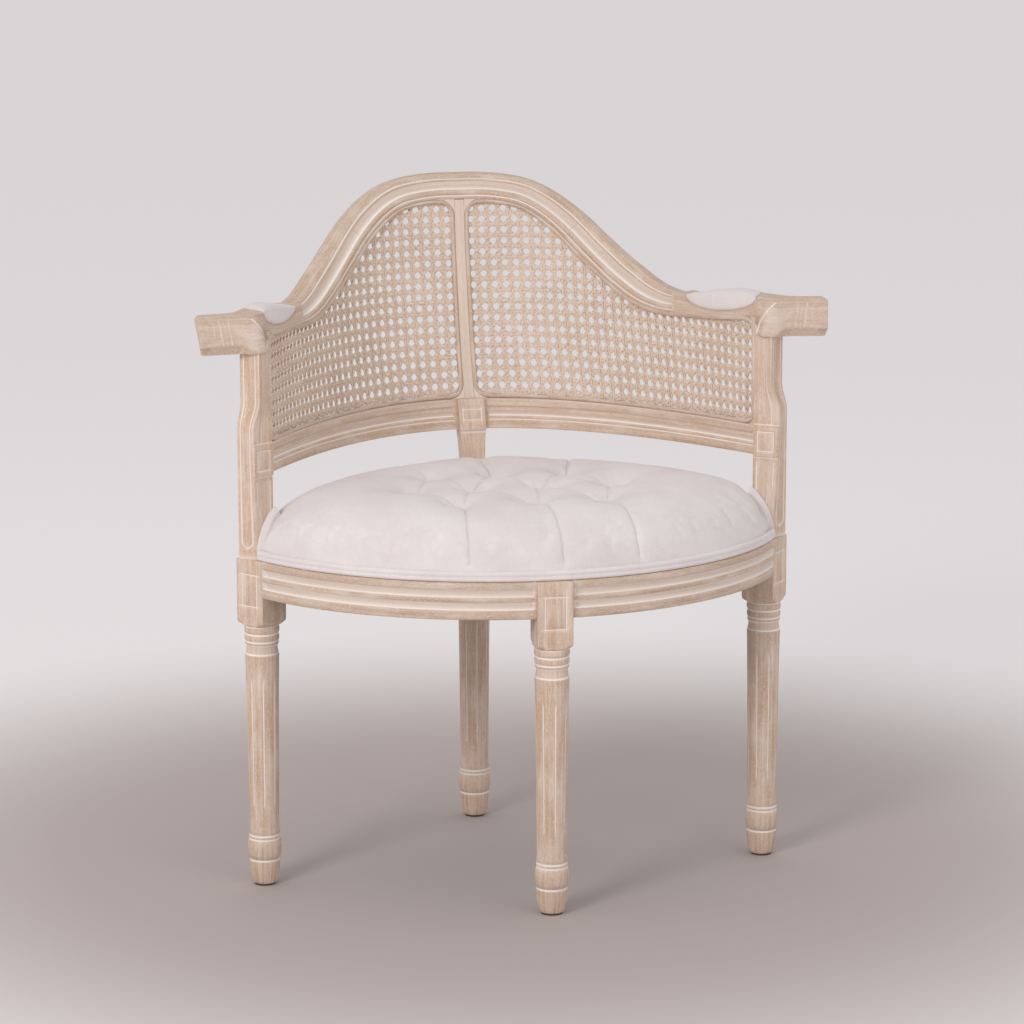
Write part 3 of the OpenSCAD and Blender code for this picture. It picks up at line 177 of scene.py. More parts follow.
class Skin:
    """Closed skins made of rings of points, with a grain map and a wax attribute."""

    def __init__(self):
        self.points, self.faces, self.uvs, self.waxes, self.count = [], [], [], [], 0

    def add(self, rings, wax=0.0, closed=False, grain_from=0.0):
        rings = np.asarray(rings, float)
        m, n = rings.shape[:2]
        wax = np.broadcast_to(np.asarray(wax, float), (m, n))
        around = np.linalg.norm(np.roll(rings, -1, 1) - rings, axis=2).mean(0)
        v = np.concatenate([[0], np.cumsum(around)]) * 0.001
        steps = np.linalg.norm(np.diff(np.concatenate([rings, rings[:1]]).mean(1), axis=0), axis=1)
        u = (np.concatenate([[0], np.cumsum(steps)]) + grain_from) * 0.001
        faces, uvs = [], []
        for k in range(m if closed else m - 1):
            k2 = (k + 1) % m
            for j in range(n):
                j2 = (j + 1) % n
                faces.append([k * n + j, k * n + j2, k2 * n + j2, k2 * n + j])
                uvs.append([(u[k], v[j]), (u[k], v[j + 1]), (u[k + 1], v[j + 1]), (u[k + 1], v[j])])
        flat = rings.reshape(-1, 3)
        quads = np.array(faces)
        p = flat - flat.mean(0)
        a, b, c, d = (p[quads[:, i]] for i in range(4))
        volume = sum((a * np.cross(*pair)).sum() for pair in ((b, c), (c, d)))
        if not closed:
            start, end = list(range(n))[::-1], [(m - 1) * n + j for j in range(n)]
            for face, k in ((start, 0), (end, m - 1)):
                faces.append(face)
                centre = flat[face].mean(0)
                side = unit(flat[face[0]] - centre)
                normal = unit(np.cross(side, flat[face[n // 3]] - centre))
                up = np.cross(normal, side)
                uvs.append([(u[k] + float((flat[i] - centre) @ side) * 0.001,
                             0.5 + float((flat[i] - centre) @ up) * 0.001) for i in face])
        if volume < 0:
            faces = [f[::-1] for f in faces]
            uvs = [q[::-1] for q in uvs]
        self.faces += [[self.count + i for i in f] for f in faces]
        self.uvs += [c for q in uvs for c in q]
        self.points.append(flat)
        self.waxes.append(wax.reshape(-1) ** WAX_FALL)
        self.count += m * n
        return self

    def piece(self, name, material, slot, nodes=(), sharp=40.0, flip_x=False):
        points = np.concatenate(self.points)
        faces, uvs = self.faces, self.uvs
        if flip_x:
            points = points * [-1, 1, 1]
            turned, at = [], 0
            for f in faces:
                turned += uvs[at:at + len(f)][::-1]
                at += len(f)
            faces, uvs = [f[::-1] for f in faces], turned
        mesh = bpy.data.meshes.new(name)
        mesh.from_pydata(to_frame(points).tolist(), [], faces)
        layer = mesh.uv_layers.new(name="grain")
        layer.data.foreach_set("uv", np.array(uvs, np.float32).reshape(-1))
        wax = mesh.attributes.new("wax", "FLOAT", "POINT")
        wax.data.foreach_set("value", np.concatenate(self.waxes).astype(np.float32))
        return finish_mesh(name, mesh, material, nodes, sharp)


def stand(rings, centre, angle):
    """Rings turned about the upright axis and set on a centre."""
    c, s = math.cos(angle), math.sin(angle)
    x, y = rings[..., 0], rings[..., 1]
    return np.stack([x * c - y * s + centre[0], x * s + y * c + centre[1], rings[..., 2]], -1)


def finish_mesh(name, mesh, material, nodes=(), sharp=40.0):
    mesh.polygons.foreach_set("use_smooth", [True] * len(mesh.polygons))
    mesh.set_sharp_from_angle(angle=math.radians(sharp))
    mesh.materials.clear()
    mesh.materials.append(material)
    mesh.update()
    piece = bpy.data.objects.new(name, mesh)
    bpy.context.scene.collection.objects.link(piece)
    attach(piece, "root")
    if nodes:
        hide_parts(*nodes)
    print(name, len(mesh.polygons), "faces")
    return piece


# %% [markdown]
# The wood is oak that was bleached and rubbed with white wax. Its colour comes from long
# streaks of grain, from pale clouds where the wax lies thicker, from short white pores, and
# from the wax attribute in the grooves. Sanded edges show the darker raw wood.

# %% Node helpers
def new_material(name, roughness):
    """An empty finish with its node tree and its shader."""
    material = bpy.data.materials.new(name)
    material.use_nodes = True
    tree = material.node_tree
    shader = tree.nodes["Principled BSDF"]
    shader.inputs["Roughness"].default_value = roughness
    return material, tree, shader


def add_node(tree, kind, links=(), **values):
    """A node with its settings or inputs given by name, and its links."""
    node = tree.nodes.new(kind)
    for key, value in values.items():
        if hasattr(node, key):
            setattr(node, key, value)
        else:
            node.inputs[key.replace("_", " ")].default_value = value
    for socket, source in links:
        tree.links.new(source, node.inputs[socket])
    return node


def noise(tree, vector, scale, detail=3.0, rough=0.5):
    node = add_node(tree, "ShaderNodeTexNoise", [("Vector", vector)])
    node.inputs["Scale"].default_value = scale
    node.inputs["Detail"].default_value = detail
    node.inputs["Roughness"].default_value = rough
    return node.outputs["Fac"]


def stretch(tree, vector, scale, offset=(0, 0, 0)):
    node = add_node(tree, "ShaderNodeMapping", [("Vector", vector)])
    node.inputs["Scale"].default_value = scale
    node.inputs["Location"].default_value = offset
    return node.outputs["Vector"]


def ramp(tree, factor, low, high, smooth=True):
    node = add_node(tree, "ShaderNodeMapRange", [("Value", factor)])
    node.interpolation_type = "SMOOTHSTEP" if smooth else "LINEAR"
    node.inputs["From Min"].default_value = low
    node.inputs["From Max"].default_value = high
    return node.outputs["Result"]


def math_node(tree, operation, a, b):
    node = tree.nodes.new("ShaderNodeMath")
    node.operation = operation
    for socket, value in zip(node.inputs, (a, b)):
        if isinstance(value, (int, float)):
            socket.default_value = value
        else:
            tree.links.new(value, socket)
    return node.outputs[0]


def times(tree, a, b):
    return math_node(tree, "MULTIPLY", a, b)


def added(tree, a, b):
    return math_node(tree, "ADD", a, b)


def larger(tree, a, b):
    return math_node(tree, "MAXIMUM", a, b)


def mix_colour(tree, factor, a, b):
    node = tree.nodes.new("ShaderNodeMix")
    node.data_type = "RGBA"
    for socket, value in ((node.inputs[0], factor), (node.inputs[6], a), (node.inputs[7], b)):
        if isinstance(value, (int, float)):
            socket.default_value = value
        elif isinstance(value, tuple):
            socket.default_value = (*value, 1)
        else:
            tree.links.new(value, socket)
    return node.outputs[2]


def add_bump(tree, shader, height, strength, distance):
    node = add_node(tree, "ShaderNodeBump", [("Height", height)])
    node.inputs["Strength"].default_value = strength
    node.inputs["Distance"].default_value = distance
    tree.links.new(node.outputs["Normal"], shader.inputs["Normal"])


print("node helpers ready")

# %% [markdown]
# One recipe makes every oak finish. The pieces differ only in how dark their bare wood is, in how
# much wax was left on the flat, and in where their grain starts, so that no two look sawn from
# the same spot of one board. The crest and shoulders take a darker copy of the back rails' finish;
# that extra darkness is painted shade, set against the stronger light from above.

# %% Limed oak
RAW_OAK, PALE_OAK, DARK_GRAIN = (0.505, 0.34, 0.225), (0.665, 0.505, 0.395), (0.34, 0.21, 0.13)
# The second colour is painted shade: the dark of shadowed gaps beside the bead
WAX, GAP_SHADE = (0.84, 0.775, 0.735), (0.10, 0.065, 0.045)


def limed_oak(name, offset, shade, veil=0.0, gap_shade=False):
    """shade darkens the bare wood, veil is a thin even coat of wax, and the last flag paints dark dashes of
    shade where gaps open beside a bead.
    """
    raw, pale, dark_grain = (tuple(c * shade for c in colour) for colour in (RAW_OAK, PALE_OAK, DARK_GRAIN))
    material, tree, shader = new_material(name, 0.62)
    uv = add_node(tree, "ShaderNodeUVMap", uv_map="grain").outputs["UV"]
    wax = add_node(tree, "ShaderNodeAttribute", attribute_name="wax").outputs["Fac"]
    place = stretch(tree, uv, (1, 1, 1), offset)
    streak = noise(tree, stretch(tree, place, (7, 210, 1)), 1.0, 5.0, 0.6)
    fine = noise(tree, stretch(tree, place, (60, 1300, 1)), 1.0, 3.0, 0.6)
    cloud = noise(tree, stretch(tree, place, (22, 45, 1)), 1.0, 4.0, 0.6)
    pores = noise(tree, stretch(tree, place, (230, 1900, 1)), 1.0, 2.0, 0.55)
    colour = mix_colour(tree, ramp(tree, streak, 0.3, 0.7), raw, pale)
    colour = mix_colour(tree, times(tree, ramp(tree, fine, 0.52, 0.72), 0.7), colour, dark_grain)
    clouds = times(tree, ramp(tree, cloud, 0.4, 0.75), 0.38)
    white_pores = times(tree, ramp(tree, pores, 0.54, 0.66), 0.55)
    in_groove = times(tree, wax, added(tree, times(tree, fine, 0.4), 0.8))
    white = larger(tree, larger(tree, larger(tree, clouds, white_pores), veil), in_groove)
    clamp = add_node(tree, "ShaderNodeClamp", [("Value", white)])
    colour = mix_colour(tree, clamp.outputs[0], colour, WAX)
    if gap_shade:
        # Painted shade: dark dashes where the bead leaves shadowed gaps beside the cane, placed by the wax on
        # its flanks
        shade_dash = ramp(tree, noise(tree, stretch(tree, place, (85, 3, 1)), 1.0, 2.0, 0.5), 0.49, 0.54)
        colour = mix_colour(tree, times(tree, shade_dash, ramp(tree, wax, 0.6, 0.85)), colour, GAP_SHADE)
    tree.links.new(colour, shader.inputs["Base Color"])
    rough = add_node(tree, "ShaderNodeMapRange", [("Value", streak)], To_Min=0.5, To_Max=0.74)
    tree.links.new(rough.outputs["Result"], shader.inputs["Roughness"])
    add_bump(tree, shader, added(tree, times(tree, streak, 0.6), times(tree, fine, 0.6)), 0.5, 0.0005)
    return material


oak_leg = limed_oak("oak_leg", (0, 0, 0), 0.98)
oak_rail = limed_oak("oak_rail", (3.1, 1.7, 0), 0.87)
# The crest and shoulders get this darker copy of the next finish, the same wood: the difference is painted
# shade against the light from above
oak_back_shaded = limed_oak("oak_back_shaded", (7.3, 4.1, 0), 0.88)
oak_low = limed_oak("oak_low", (7.3, 4.1, 0), 0.95)
oak_arm = limed_oak("oak_arm", (11.7, 2.9, 0), 0.85, veil=0.12)
oak_bead = limed_oak("oak_bead", (2.3, 8.9, 0), 0.88, gap_shade=True)
oak_muntin = limed_oak("oak_muntin", (5.9, 6.3, 0), 0.98, veil=0.38)
print("oak finishes made")

# %% [markdown]
# Each leg is turned on a lathe: its profile is spun round an axis, with white wax in the turned
# lines. Eight narrow flutes are then cut down the shaft. The rings have extra points just where
# a flute lies, so that a groove of two millimetres stays crisp without a heavy mesh.

# %% Turned legs
LEG_PROFILE = [  # height, radius, wax
    (2.4, 13.6, 0), (3.2, 14.5, 0), (5.5, 15.5, 0), (10, 16.7, 0), (15, 17.7, 0), (21, 18.4, 0),
    (28, 18.8, 0), (31, 18.9, 0.3), (31.8, 18.1, 1), (33.4, 18.1, 1), (34.2, 19.1, 0.3), (40, 20.3, 0),
    (48, 20.8, 0), (54, 20.3, 0), (57.6, 19.6, 0.3), (58.4, 18.8, 1), (60, 18.8, 1), (60.7, 19.5, 0.1),
    (62.3, 19.4, 0.3), (63, 18.6, 1), (64.7, 18.5, 1), (65.4, 18.9, 0.3), (70, 18.5, 0), (78, 18.2, 0),
    (86, 18.3, 0), (92, 18.35, 0), (95, 18.35, 0), (99, 18.4, 0), (104, 18.45, 0), (110, 18.5, 0),
    (125, 18.6, 0), (150, 18.85, 0), (180, 19.15, 0), (210, 19.5, 0), (235, 19.8, 0), (252, 20.05, 0),
    (258, 20.15, 0), (263, 20.2, 0), (267, 20.3, 0), (270, 20.35, 0), (280, 20.55, 0), (288, 20.75, 0),
    (291.4, 20.9, 0.3), (292, 20, 1), (293.6, 19.9, 1), (294.3, 20.1, 0.5), (297, 19.3, 0.45),
    (300.8, 18.9, 0.45), (302.7, 19.1, 0.6), (303.2, 19.5, 1), (304.2, 19.9, 0.9), (304.8, 20.3, 0),
    (306.8, 20.5, 0), (307.4, 19.8, 1), (309, 19.8, 1), (309.6, 20.6, 0.2), (311.5, 21, 0),
    (314, 21.1, 0), (316.2, 20.7, 0.2), (316.9, 20, 1), (318.5, 20, 1), (319.2, 20.9, 0.2),
    (321, 21.35, 0), (324, 21.4, 0), (326.2, 21, 0.2), (326.9, 20.3, 1), (329.5, 20.2, 1)]
FLUTE_FROM, FLUTE_TO, FLUTE_COUNT, FLUTE_DEPTH = 95, 267, 8, 1.3


def leg_rings():
    """Rings of the turned shaft, with points gathered where the flutes are cut."""
    offsets = np.array([-1.35, -0.75, 0, 0.75, 1.35, 3.2, 5.4, 7.6, 9.8, 12])
    sector = 2 * math.pi / FLUTE_COUNT
    angles = (np.arange(FLUTE_COUNT)[:, None] * sector + offsets / 19.3).reshape(-1)
    profile = np.array(LEG_PROFILE, float)
    ends = np.clip(np.minimum(profile[:, 0] - FLUTE_FROM, FLUTE_TO - profile[:, 0]) / 9, 0, 1)
    across = np.tile(np.abs(offsets), FLUTE_COUNT)
    cut = np.clip(1.25 - across / (1.15 * np.maximum(ends[:, None], 0.01)), 0, 1) * (ends[:, None] > 0)
    radius = profile[:, 1:2] - FLUTE_DEPTH * np.minimum(cut, 1)
    wax = np.maximum(profile[:, 2:3], np.clip(cut * 1.3, 0, 1))
    rings = np.stack([radius * np.cos(angles), radius * np.sin(angles),
                      np.broadcast_to(profile[:, :1], radius.shape)], -1)
    return rings, wax


print("turned leg", len(LEG_PROFILE), "rings of", leg_rings()[0].shape[1], "points")

# %% [markdown]
# Over the turning the leg stays a square block. A thin square line is carved into the faces
# that show, and filled with wax. The block is a ring of four flat faces whose grid lines run
# along the carved line, so the groove is real.

# %% Square blocks and posts from four faces
def carved_lines(half_w, line=0.85):
    """Grid places across a face for one carved line on each side."""
    inner = [half_w - 2 * line, half_w - line, half_w, half_w + line]
    return np.array([-v for v in inner[::-1]] + inner)


def groove(distance, half=0.95):
    """1 on a carved line, falling to 0 beside it."""
    return np.clip(1.35 - np.abs(distance) / half, 0, 1)


# How the block's lower corners are rounded: height over its bottom, greatest reach from the axis
BLOCK_ROUNDING = np.array([(-0.6, 20.6), (0.4, 21.6), (1.6, 24.2), (3.4, 27.4), (5.4, 29.4), (9, 30.4)])
CARVED_LOW, CARVED_HIGH = RAIL_TOP - 57.4, RAIL_TOP - 18.5
EDGE = 0.9


def block_skin(skin, centre, angle, carved_faces):
    """carved_faces: for each of the faces -Y, +X, +Y, -X, the carved half width or 0."""
    low, high = CARVED_LOW, CARVED_HIGH
    levels = np.concatenate([
        BLOCK_BOTTOM + BLOCK_ROUNDING[:, 0], [low - 5, low - EDGE, low, low + EDGE, low + 1.8],
        [(low + high) / 2, high - 1.8, high - EDGE, high, high + EDGE, high + 5],
        [RAIL_TOP - 1.2, RAIL_TOP - 0.5, RAIL_TOP]])
    limit = np.interp(levels, BLOCK_BOTTOM + BLOCK_ROUNDING[:, 0], BLOCK_ROUNDING[:, 1])
    inset = np.interp(levels, [RAIL_TOP - 1.2, RAIL_TOP - 0.5, RAIL_TOP], [0, 0.2, EDGE])
    points, waxes = [], []
    for face, half_w in enumerate(carved_faces):
        lines = carved_lines(half_w or 12)
        across = np.concatenate([[-HALF_BLOCK + EDGE], lines[:4], [0], lines[4:], [HALF_BLOCK - EDGE]])
        s, z = np.meshgrid(across, levels)
        mark = np.zeros_like(s)
        if half_w:
            inside = (np.abs(s) < half_w + 1) & (z > low - 1) & (z < high + 1)
            level_lines = np.maximum(groove(z - low), groove(z - high))
            mark = np.maximum(groove(np.abs(s) - half_w), level_lines) * inside
        out = HALF_BLOCK - inset[:, None] - EDGE * mark
        a = math.radians(-90 + 90 * face)
        x = s * math.cos(a + math.pi / 2) + out * math.cos(a)
        y = s * math.sin(a + math.pi / 2) + out * math.sin(a)
        points.append(np.stack([x, y, z], -1))
        waxes.append(mark)
    rings, wax = np.concatenate(points, 1), np.concatenate(waxes, 1)
    reach = np.linalg.norm(rings[..., :2], axis=-1)
    rings[..., :2] *= np.minimum(1, limit[:, None] / reach)[..., None]
    wax[:2] = 0.6
    skin.add(stand(rings, centre, angle), wax, grain_from=330)


def leg_skin(skin, centre, angle, carved_faces):
    rings, wax = leg_rings()
    skin.add(stand(rings, centre, angle), wax)
    block_skin(skin, centre, angle, carved_faces)


front_leg = Skin()
leg_skin(front_leg, (0, -FRONT_LEG_Y), 0, (12.8, 0, 0, 0))
front_leg.piece("front_leg", oak_leg, "oak", ["leg_front"])

# %% [markdown]
# A side leg runs on above its block as a post. Its four faces turn slightly and draw in where
# the arm begins. The outer face has a wide flute with a round end, and the inner face has a
# square boss with a carved line, with flutes over and under it.

# %% Side legs with their posts
# The post's corners under and over its kink, and how far the foot's corners spread
LOW_CORNERS = np.array([(345.66, 0.0), (329.03, -21.27), (301.45, 0.28), (318.07, 21.55)])
HIGH_CORNERS = np.array([(340.66, 5.0), (319.78, -16.34), (304.3, 5.16), (319.78, 28.38)])
KINK_LOW, KINK_HIGH = 571, 603
FOOT_SHIFT = np.array([(0, 0), (-4.5, 5.5), (0, 0), (0, 0)])


def post_corners(z):
    """The four corners of the post at a height."""
    s = np.clip((z - KINK_LOW) / (KINK_HIGH - KINK_LOW), 0, 1)
    blend = (s**2 * (3 - 2 * s))[..., None, None]
    foot = np.clip((525 - z) / 110, 0, 1)[..., None, None] * FOOT_SHIFT
    return (1 - blend) * LOW_CORNERS + blend * HIGH_CORNERS + foot


def outer_face_cut(s, z, width):
    """Wide flute down the outer face, between two wax lines that meet in a round end."""
    half, middle, round_z = 0.27 * width, 0.5 * width, 433.0
    away = np.where(z > round_z, np.abs(s - middle), np.hypot(s - middle, z - round_z))
    depth = 2.2 * np.clip(1 - (away / half) ** 2, 0, 1)
    line = groove(away - half - 0.6, 0.95)
    return depth + 0.8 * line, line


def inner_face_cut(s, z, width):
    """Boss with a carved square; over it a roll and a flat, under it a flute ending in a point."""
    share = s / width
    boss = (z > BACK_RAIL_BOTTOM - 1) & (z < BACK_RAIL_TOP + 1)
    square_s, square_z = np.abs(share - 0.5) * width - 10.6, np.abs(z - 532) - 12.2
    carved = np.where((square_s < 1) & (square_z < 1),
                      np.maximum(groove(square_s), groove(square_z)), 0)
    ledge = np.maximum(groove(z - (BACK_RAIL_TOP + 2.2), 1.1), groove(z - (BACK_RAIL_BOTTOM - 2.4), 1.1))
    point = np.clip((z - 437) / 34, 0, 1)
    left, right = 0.16 + 0.5 * (1 - point), 0.84 - 0.04 * (1 - point)
    lines = np.maximum(groove((share - left) * width), groove((share - right) * width))
    lines = lines * (z < BACK_RAIL_BOTTOM - 6) * (z > 437)
    off_middle = np.abs(share - (left + right) / 2) / np.maximum((right - left) / 2, 0.02)
    flute = 1.2 * np.clip(1 - off_middle**2, 0, 1) * (z < BACK_RAIL_BOTTOM - 5)
    upper = z > BACK_RAIL_TOP + 3
    roll_line, flat_line = groove((share - 0.30) * width, 0.9), groove((share - 0.44) * width, 0.8)
    hollow = 1.6 * np.clip(1 - (np.abs(share - 0.37) / 0.07) ** 2, 0, 1)
    upper_depth = 1.3 * roll_line + 0.9 * flat_line + hollow
    depth = np.where(boss, -1.6 + 0.8 * carved, np.where(upper, upper_depth, flute + 0.8 * lines))
    depth = depth + 0.5 * ledge
    upper_wax = np.maximum(roll_line, 0.6 * flat_line)
    wax = np.where(boss, carved, np.where(upper, upper_wax, np.maximum(lines, 0.35 * (flute > 0.2))))
    return depth, np.maximum(wax, ledge * 0.9)


POST_LEVELS = np.array([
    409.5, 411.2, 413, 418, 422, 425, 426.5, 428, 429.5, 431.5, 433.5, 437, 440, 447, 456, 466, 480, 495, 505,
    508.4, 510.5, 511.6, 512.6, 513.2, 514, 516, 518.8, 519.8, 520.7, 525, 532, 539, 543.3, 544.2, 545.2, 548,
    550.8, 551.4, 552.2, 553.2, 554.4, 556, 560, 566, 572, 578, 584, 590, 596, 602, 609, 615, 630, 645, 655,
    661.5, 664])
OUTER_SHARES = np.array([
    0.045, 0.10, 0.16, 0.185, 0.21, 0.235, 0.27, 0.34, 0.42, 0.5, 0.58, 0.66, 0.73, 0.765, 0.79, 0.815,
    0.84, 0.90, 0.955])
INNER_SHARES = np.array([
    0.035, 0.08, 0.13, 0.16, 0.175, 0.197, 0.22, 0.26, 0.285, 0.3, 0.32, 0.35, 0.38, 0.41, 0.43, 0.445,
    0.47, 0.52, 0.58, 0.64, 0.70, 0.76, 0.78, 0.802, 0.825, 0.84, 0.86, 0.9, 0.93, 0.965])
PLAIN_SHARES = np.array([0.05, 0.35, 0.65, 0.95])


def post_skin(skin):
    """Four faces side by side, each with the grid places that its carving needs."""
    corners = post_corners(POST_LEVELS)
    faces = ((OUTER_SHARES, outer_face_cut), (INNER_SHARES, inner_face_cut), (PLAIN_SHARES, None),
             (PLAIN_SHARES, None))
    points, waxes = [], []
    for face, (shares, cut) in enumerate(faces):
        a, b = corners[:, face], corners[:, (face + 1) % 4]
        width = np.linalg.norm(b - a, axis=-1)
        s = shares[None, :] * width[:, None]
        z = np.broadcast_to(POST_LEVELS[:, None], s.shape)
        depth, wax = cut(s, z, width[:, None]) if cut else (np.zeros_like(s), np.zeros_like(s))
        along = (b - a) / width[:, None]
        inward = np.stack([along[:, 1], -along[:, 0]], -1)
        xy = a[:, None] + s[..., None] * along[:, None] + depth[..., None] * inward[:, None]
        points.append(np.concatenate([xy, z[..., None]], -1))
        waxes.append(wax)
    rings, wax = np.concatenate(points, 1), np.concatenate(waxes, 1)
    wax[:3] = np.maximum(wax[:3], 0.7)
    skin.add(rings, wax, grain_from=411)


for side, flip in SIDES:
    leg = Skin()
    leg_skin(leg, (SIDE_LEG_X, 0), -BLOCK_ANGLE, (0, 12, 0, 0))
    post_skin(leg)
    leg.piece(f"{side}_leg", oak_leg, "oak", [f"leg_{side}"], flip_x=flip)

# %% [markdown]
# The rear leg carries the stile. Under the back rails it is a slim post with hollow sides, and
# at the rails it widens into a square boss with a carved line.

# %% Rear leg with the stile
STILE_ACROSS = np.array([-0.95, -0.8, -0.745, -0.69, -0.635, -0.3, 0, 0.3, 0.635, 0.69, 0.745, 0.8, 0.95])
SQUARE_LOW, SQUARE_HIGH, STILE_T = 526.2, 539.2, 31
STILE_LEVELS = [409.5, 420, 435, 450, 465, 480, 490, 498, 504, 508, 510.5, 511.5, 513, 513.6, 515, 520,
                SQUARE_LOW - 0.9, SQUARE_LOW, SQUARE_LOW + 0.9, 532.5, SQUARE_HIGH - 0.9, SQUARE_HIGH,
                SQUARE_HIGH + 0.9, 545, 550.5, 552]


def stile_ring(half_w, front, z, mark, wax):
    """One level of the stile: a face with its carved mark, then the sides and the rear."""
    xs, rear = STILE_ACROSS * half_w, front + STILE_T
    face = np.stack([xs, np.full_like(xs, front) + 0.8 * mark, np.full_like(xs, z)], -1)
    rest = [(half_w, front + 0.9, z), (half_w, rear - 0.9, z), (half_w - 0.8, rear, z), (0, rear, z),
            (-half_w + 0.8, rear, z), (-half_w, rear - 0.9, z), (-half_w, front + 0.9, z)]
    return np.concatenate([face, rest]), np.concatenate([wax, np.zeros(len(rest))])


def stile_skin(skin):
    rings, waxes = [], []
    for z in STILE_LEVELS:
        boss = z > 513.3
        flare = 0.0 if z < 470 else min(1, ((z - 470) / 43) ** 1.7)
        half_w = 17.5 if boss else 14.3 + 2.4 * flare
        front = float(stile_y(z)) - (9 if boss else 2.7 + 3.4 * flare)
        mark = np.zeros(len(STILE_ACROSS))
        if boss and SQUARE_LOW - 1 < z < SQUARE_HIGH + 1:
            level_line = max(groove(z - SQUARE_LOW), groove(z - SQUARE_HIGH)) * (np.abs(STILE_ACROSS) < 0.76)
            mark = np.maximum(groove(np.abs(STILE_ACROSS) * half_w - 12.1), level_line)
        wax = np.maximum(mark, 0.85) if 510 < z < 513.5 else mark
        ring, full = stile_ring(half_w, front, z, mark, wax)
        rings.append(ring)
        waxes.append(full)
    skin.add(np.array(rings), np.array(waxes), grain_from=411)


rear_leg = Skin()
leg_skin(rear_leg, (0, REAR_LEG_Y), 0, (0, 0, 0, 0))
stile_skin(rear_leg)
rear_leg.piece("rear_leg", oak_leg, "oak", ["leg_rear"])

# %% [markdown]
# The four seat rails are arcs with one moulded section: a flat band, two hollows with a raised
# reed between them, and a lower band. The hollows stop just short of the blocks, as the cutter
# leaves them.

# %% Seat rails
RAIL_FACE = np.array([  # share of the height from below, depth inwards, wax
    (0, 1.1, 0), (0.015, 0.3, 0), (0.04, 0, 0), (0.15, 0, 0), (0.24, 0, 0.1), (0.252, 0.2, 0.6),
    (0.262, 1.0, 1), (0.28, 1.7, 0.8), (0.32, 2.5, 0.6), (0.37, 2.7, 0.55), (0.42, 2.2, 0.7),
    (0.447, 1.3, 0.9), (0.458, 0.7, 0.7), (0.475, 0.3, 0.1), (0.5, 0.1, 0), (0.53, 0, 0), (0.56, 0.1, 0),
    (0.585, 0.3, 0.1), (0.602, 0.7, 0.7), (0.613, 1.3, 0.9), (0.64, 2.2, 0.7), (0.69, 2.7, 0.55),
    (0.74, 2.4, 0.6), (0.78, 1.5, 0.8), (0.792, 0.8, 1), (0.803, 0.2, 0.5), (0.82, 0, 0.1), (0.9, 0, 0),
    (0.97, 0, 0), (0.988, 0.3, 0), (1, 1.1, 0)])
# Centres and radii of the arcs, as the CAD source works them out from the places of the legs
FRONT_CENTRE, FRONT_R = np.array([0, 152.409]), 369.909
REAR_CENTRE, REAR_R = np.array([-88.563, -147.581]), 438.131


def rail_skin(centre, radius, start, stop):
    """start and stop: angles of the two ends of the arc that shows, in degrees."""
    first, last = np.radians(np.array([start, stop]))
    hollow_stop, step = 5.0 / radius, 1.2 / radius
    ends = [first + hollow_stop - step, first + hollow_stop, last - hollow_stop, last - hollow_stop + step]
    angles = np.sort(np.concatenate([np.radians(np.linspace(start, stop, 40)), ends]))
    z = RAIL_TOP - RAIL_H + RAIL_FACE[:, 0] * RAIL_H
    rings, waxes = [], []
    for angle in angles:
        inside = np.clip((min(angle - first, last - angle) - hollow_stop + step) / step, 0, 1)
        r = radius - RAIL_FACE[:, 1] * np.maximum(inside, (np.abs(RAIL_FACE[:, 0] - 0.5) > 0.45))
        d = np.array([math.cos(angle), math.sin(angle)])
        face = np.concatenate([centre + r[:, None] * d, z[:, None]], 1)
        rear = centre + (radius - RAIL_T) * d
        rings.append(np.concatenate([face, [(*rear, RAIL_TOP), (*rear, RAIL_TOP - RAIL_H)]]))
        edge = 0.8 if 0 < inside < 1 else 0
        wax = np.maximum(RAIL_FACE[:, 2] * inside, edge * (RAIL_FACE[:, 1] > 0.5))
        waxes.append(np.concatenate([wax, [0, 0]]))
    return Skin().add(np.array(rings), np.array(waxes))


for side, flip in SIDES:
    rail = rail_skin(FRONT_CENTRE, FRONT_R, -86.7, -29.4)
    rail.piece(f"front_rail_{side}_oak", oak_rail, "oak", [f"front_rail_{side}"], flip_x=flip)
    rail = rail_skin(REAR_CENTRE, REAR_R, 23.6, 75.4)
    rail.piece(f"rear_rail_{side}_oak", oak_rail, "oak", [f"rear_rail_{side}"], flip_x=flip)

# %% [markdown]
# The two lower rails of the back are curved and reeded. Each is carried along the back's
# surface, so it leans as the back does.

# %% Back rails
BACK_RAIL_FACE = np.array([  # share of the height from below, depth inwards, wax
    (0, 1.0, 0), (0.02, 0.2, 0), (0.05, 0, 0), (0.18, 0, 0), (0.27, 0, 0.2), (0.285, 0.8, 0.9),
    (0.30, 1.7, 1), (0.315, 1.3, 0.5), (0.34, 0.9, 0), (0.375, 0.8, 0), (0.405, 1.1, 0.1),
    (0.42, 1.9, 0.9), (0.437, 2.4, 1), (0.47, 2.7, 0.6), (0.51, 2.6, 0.5), (0.545, 2.2, 0.6),
    (0.56, 1.7, 0.8), (0.575, 1.2, 0.2), (0.61, 0.9, 0), (0.65, 0.9, 0), (0.68, 1.2, 0),
    (0.695, 1.9, 0.2), (0.715, 2.2, 0.3), (0.73, 1.4, 0.6), (0.745, 0.7, 0.5), (0.76, 0.4, 0.3),
    (0.84, 0.3, 0.25), (0.93, 0.3, 0.3), (0.98, 0.4, 0.5), (1, 0.9, 0.6)])


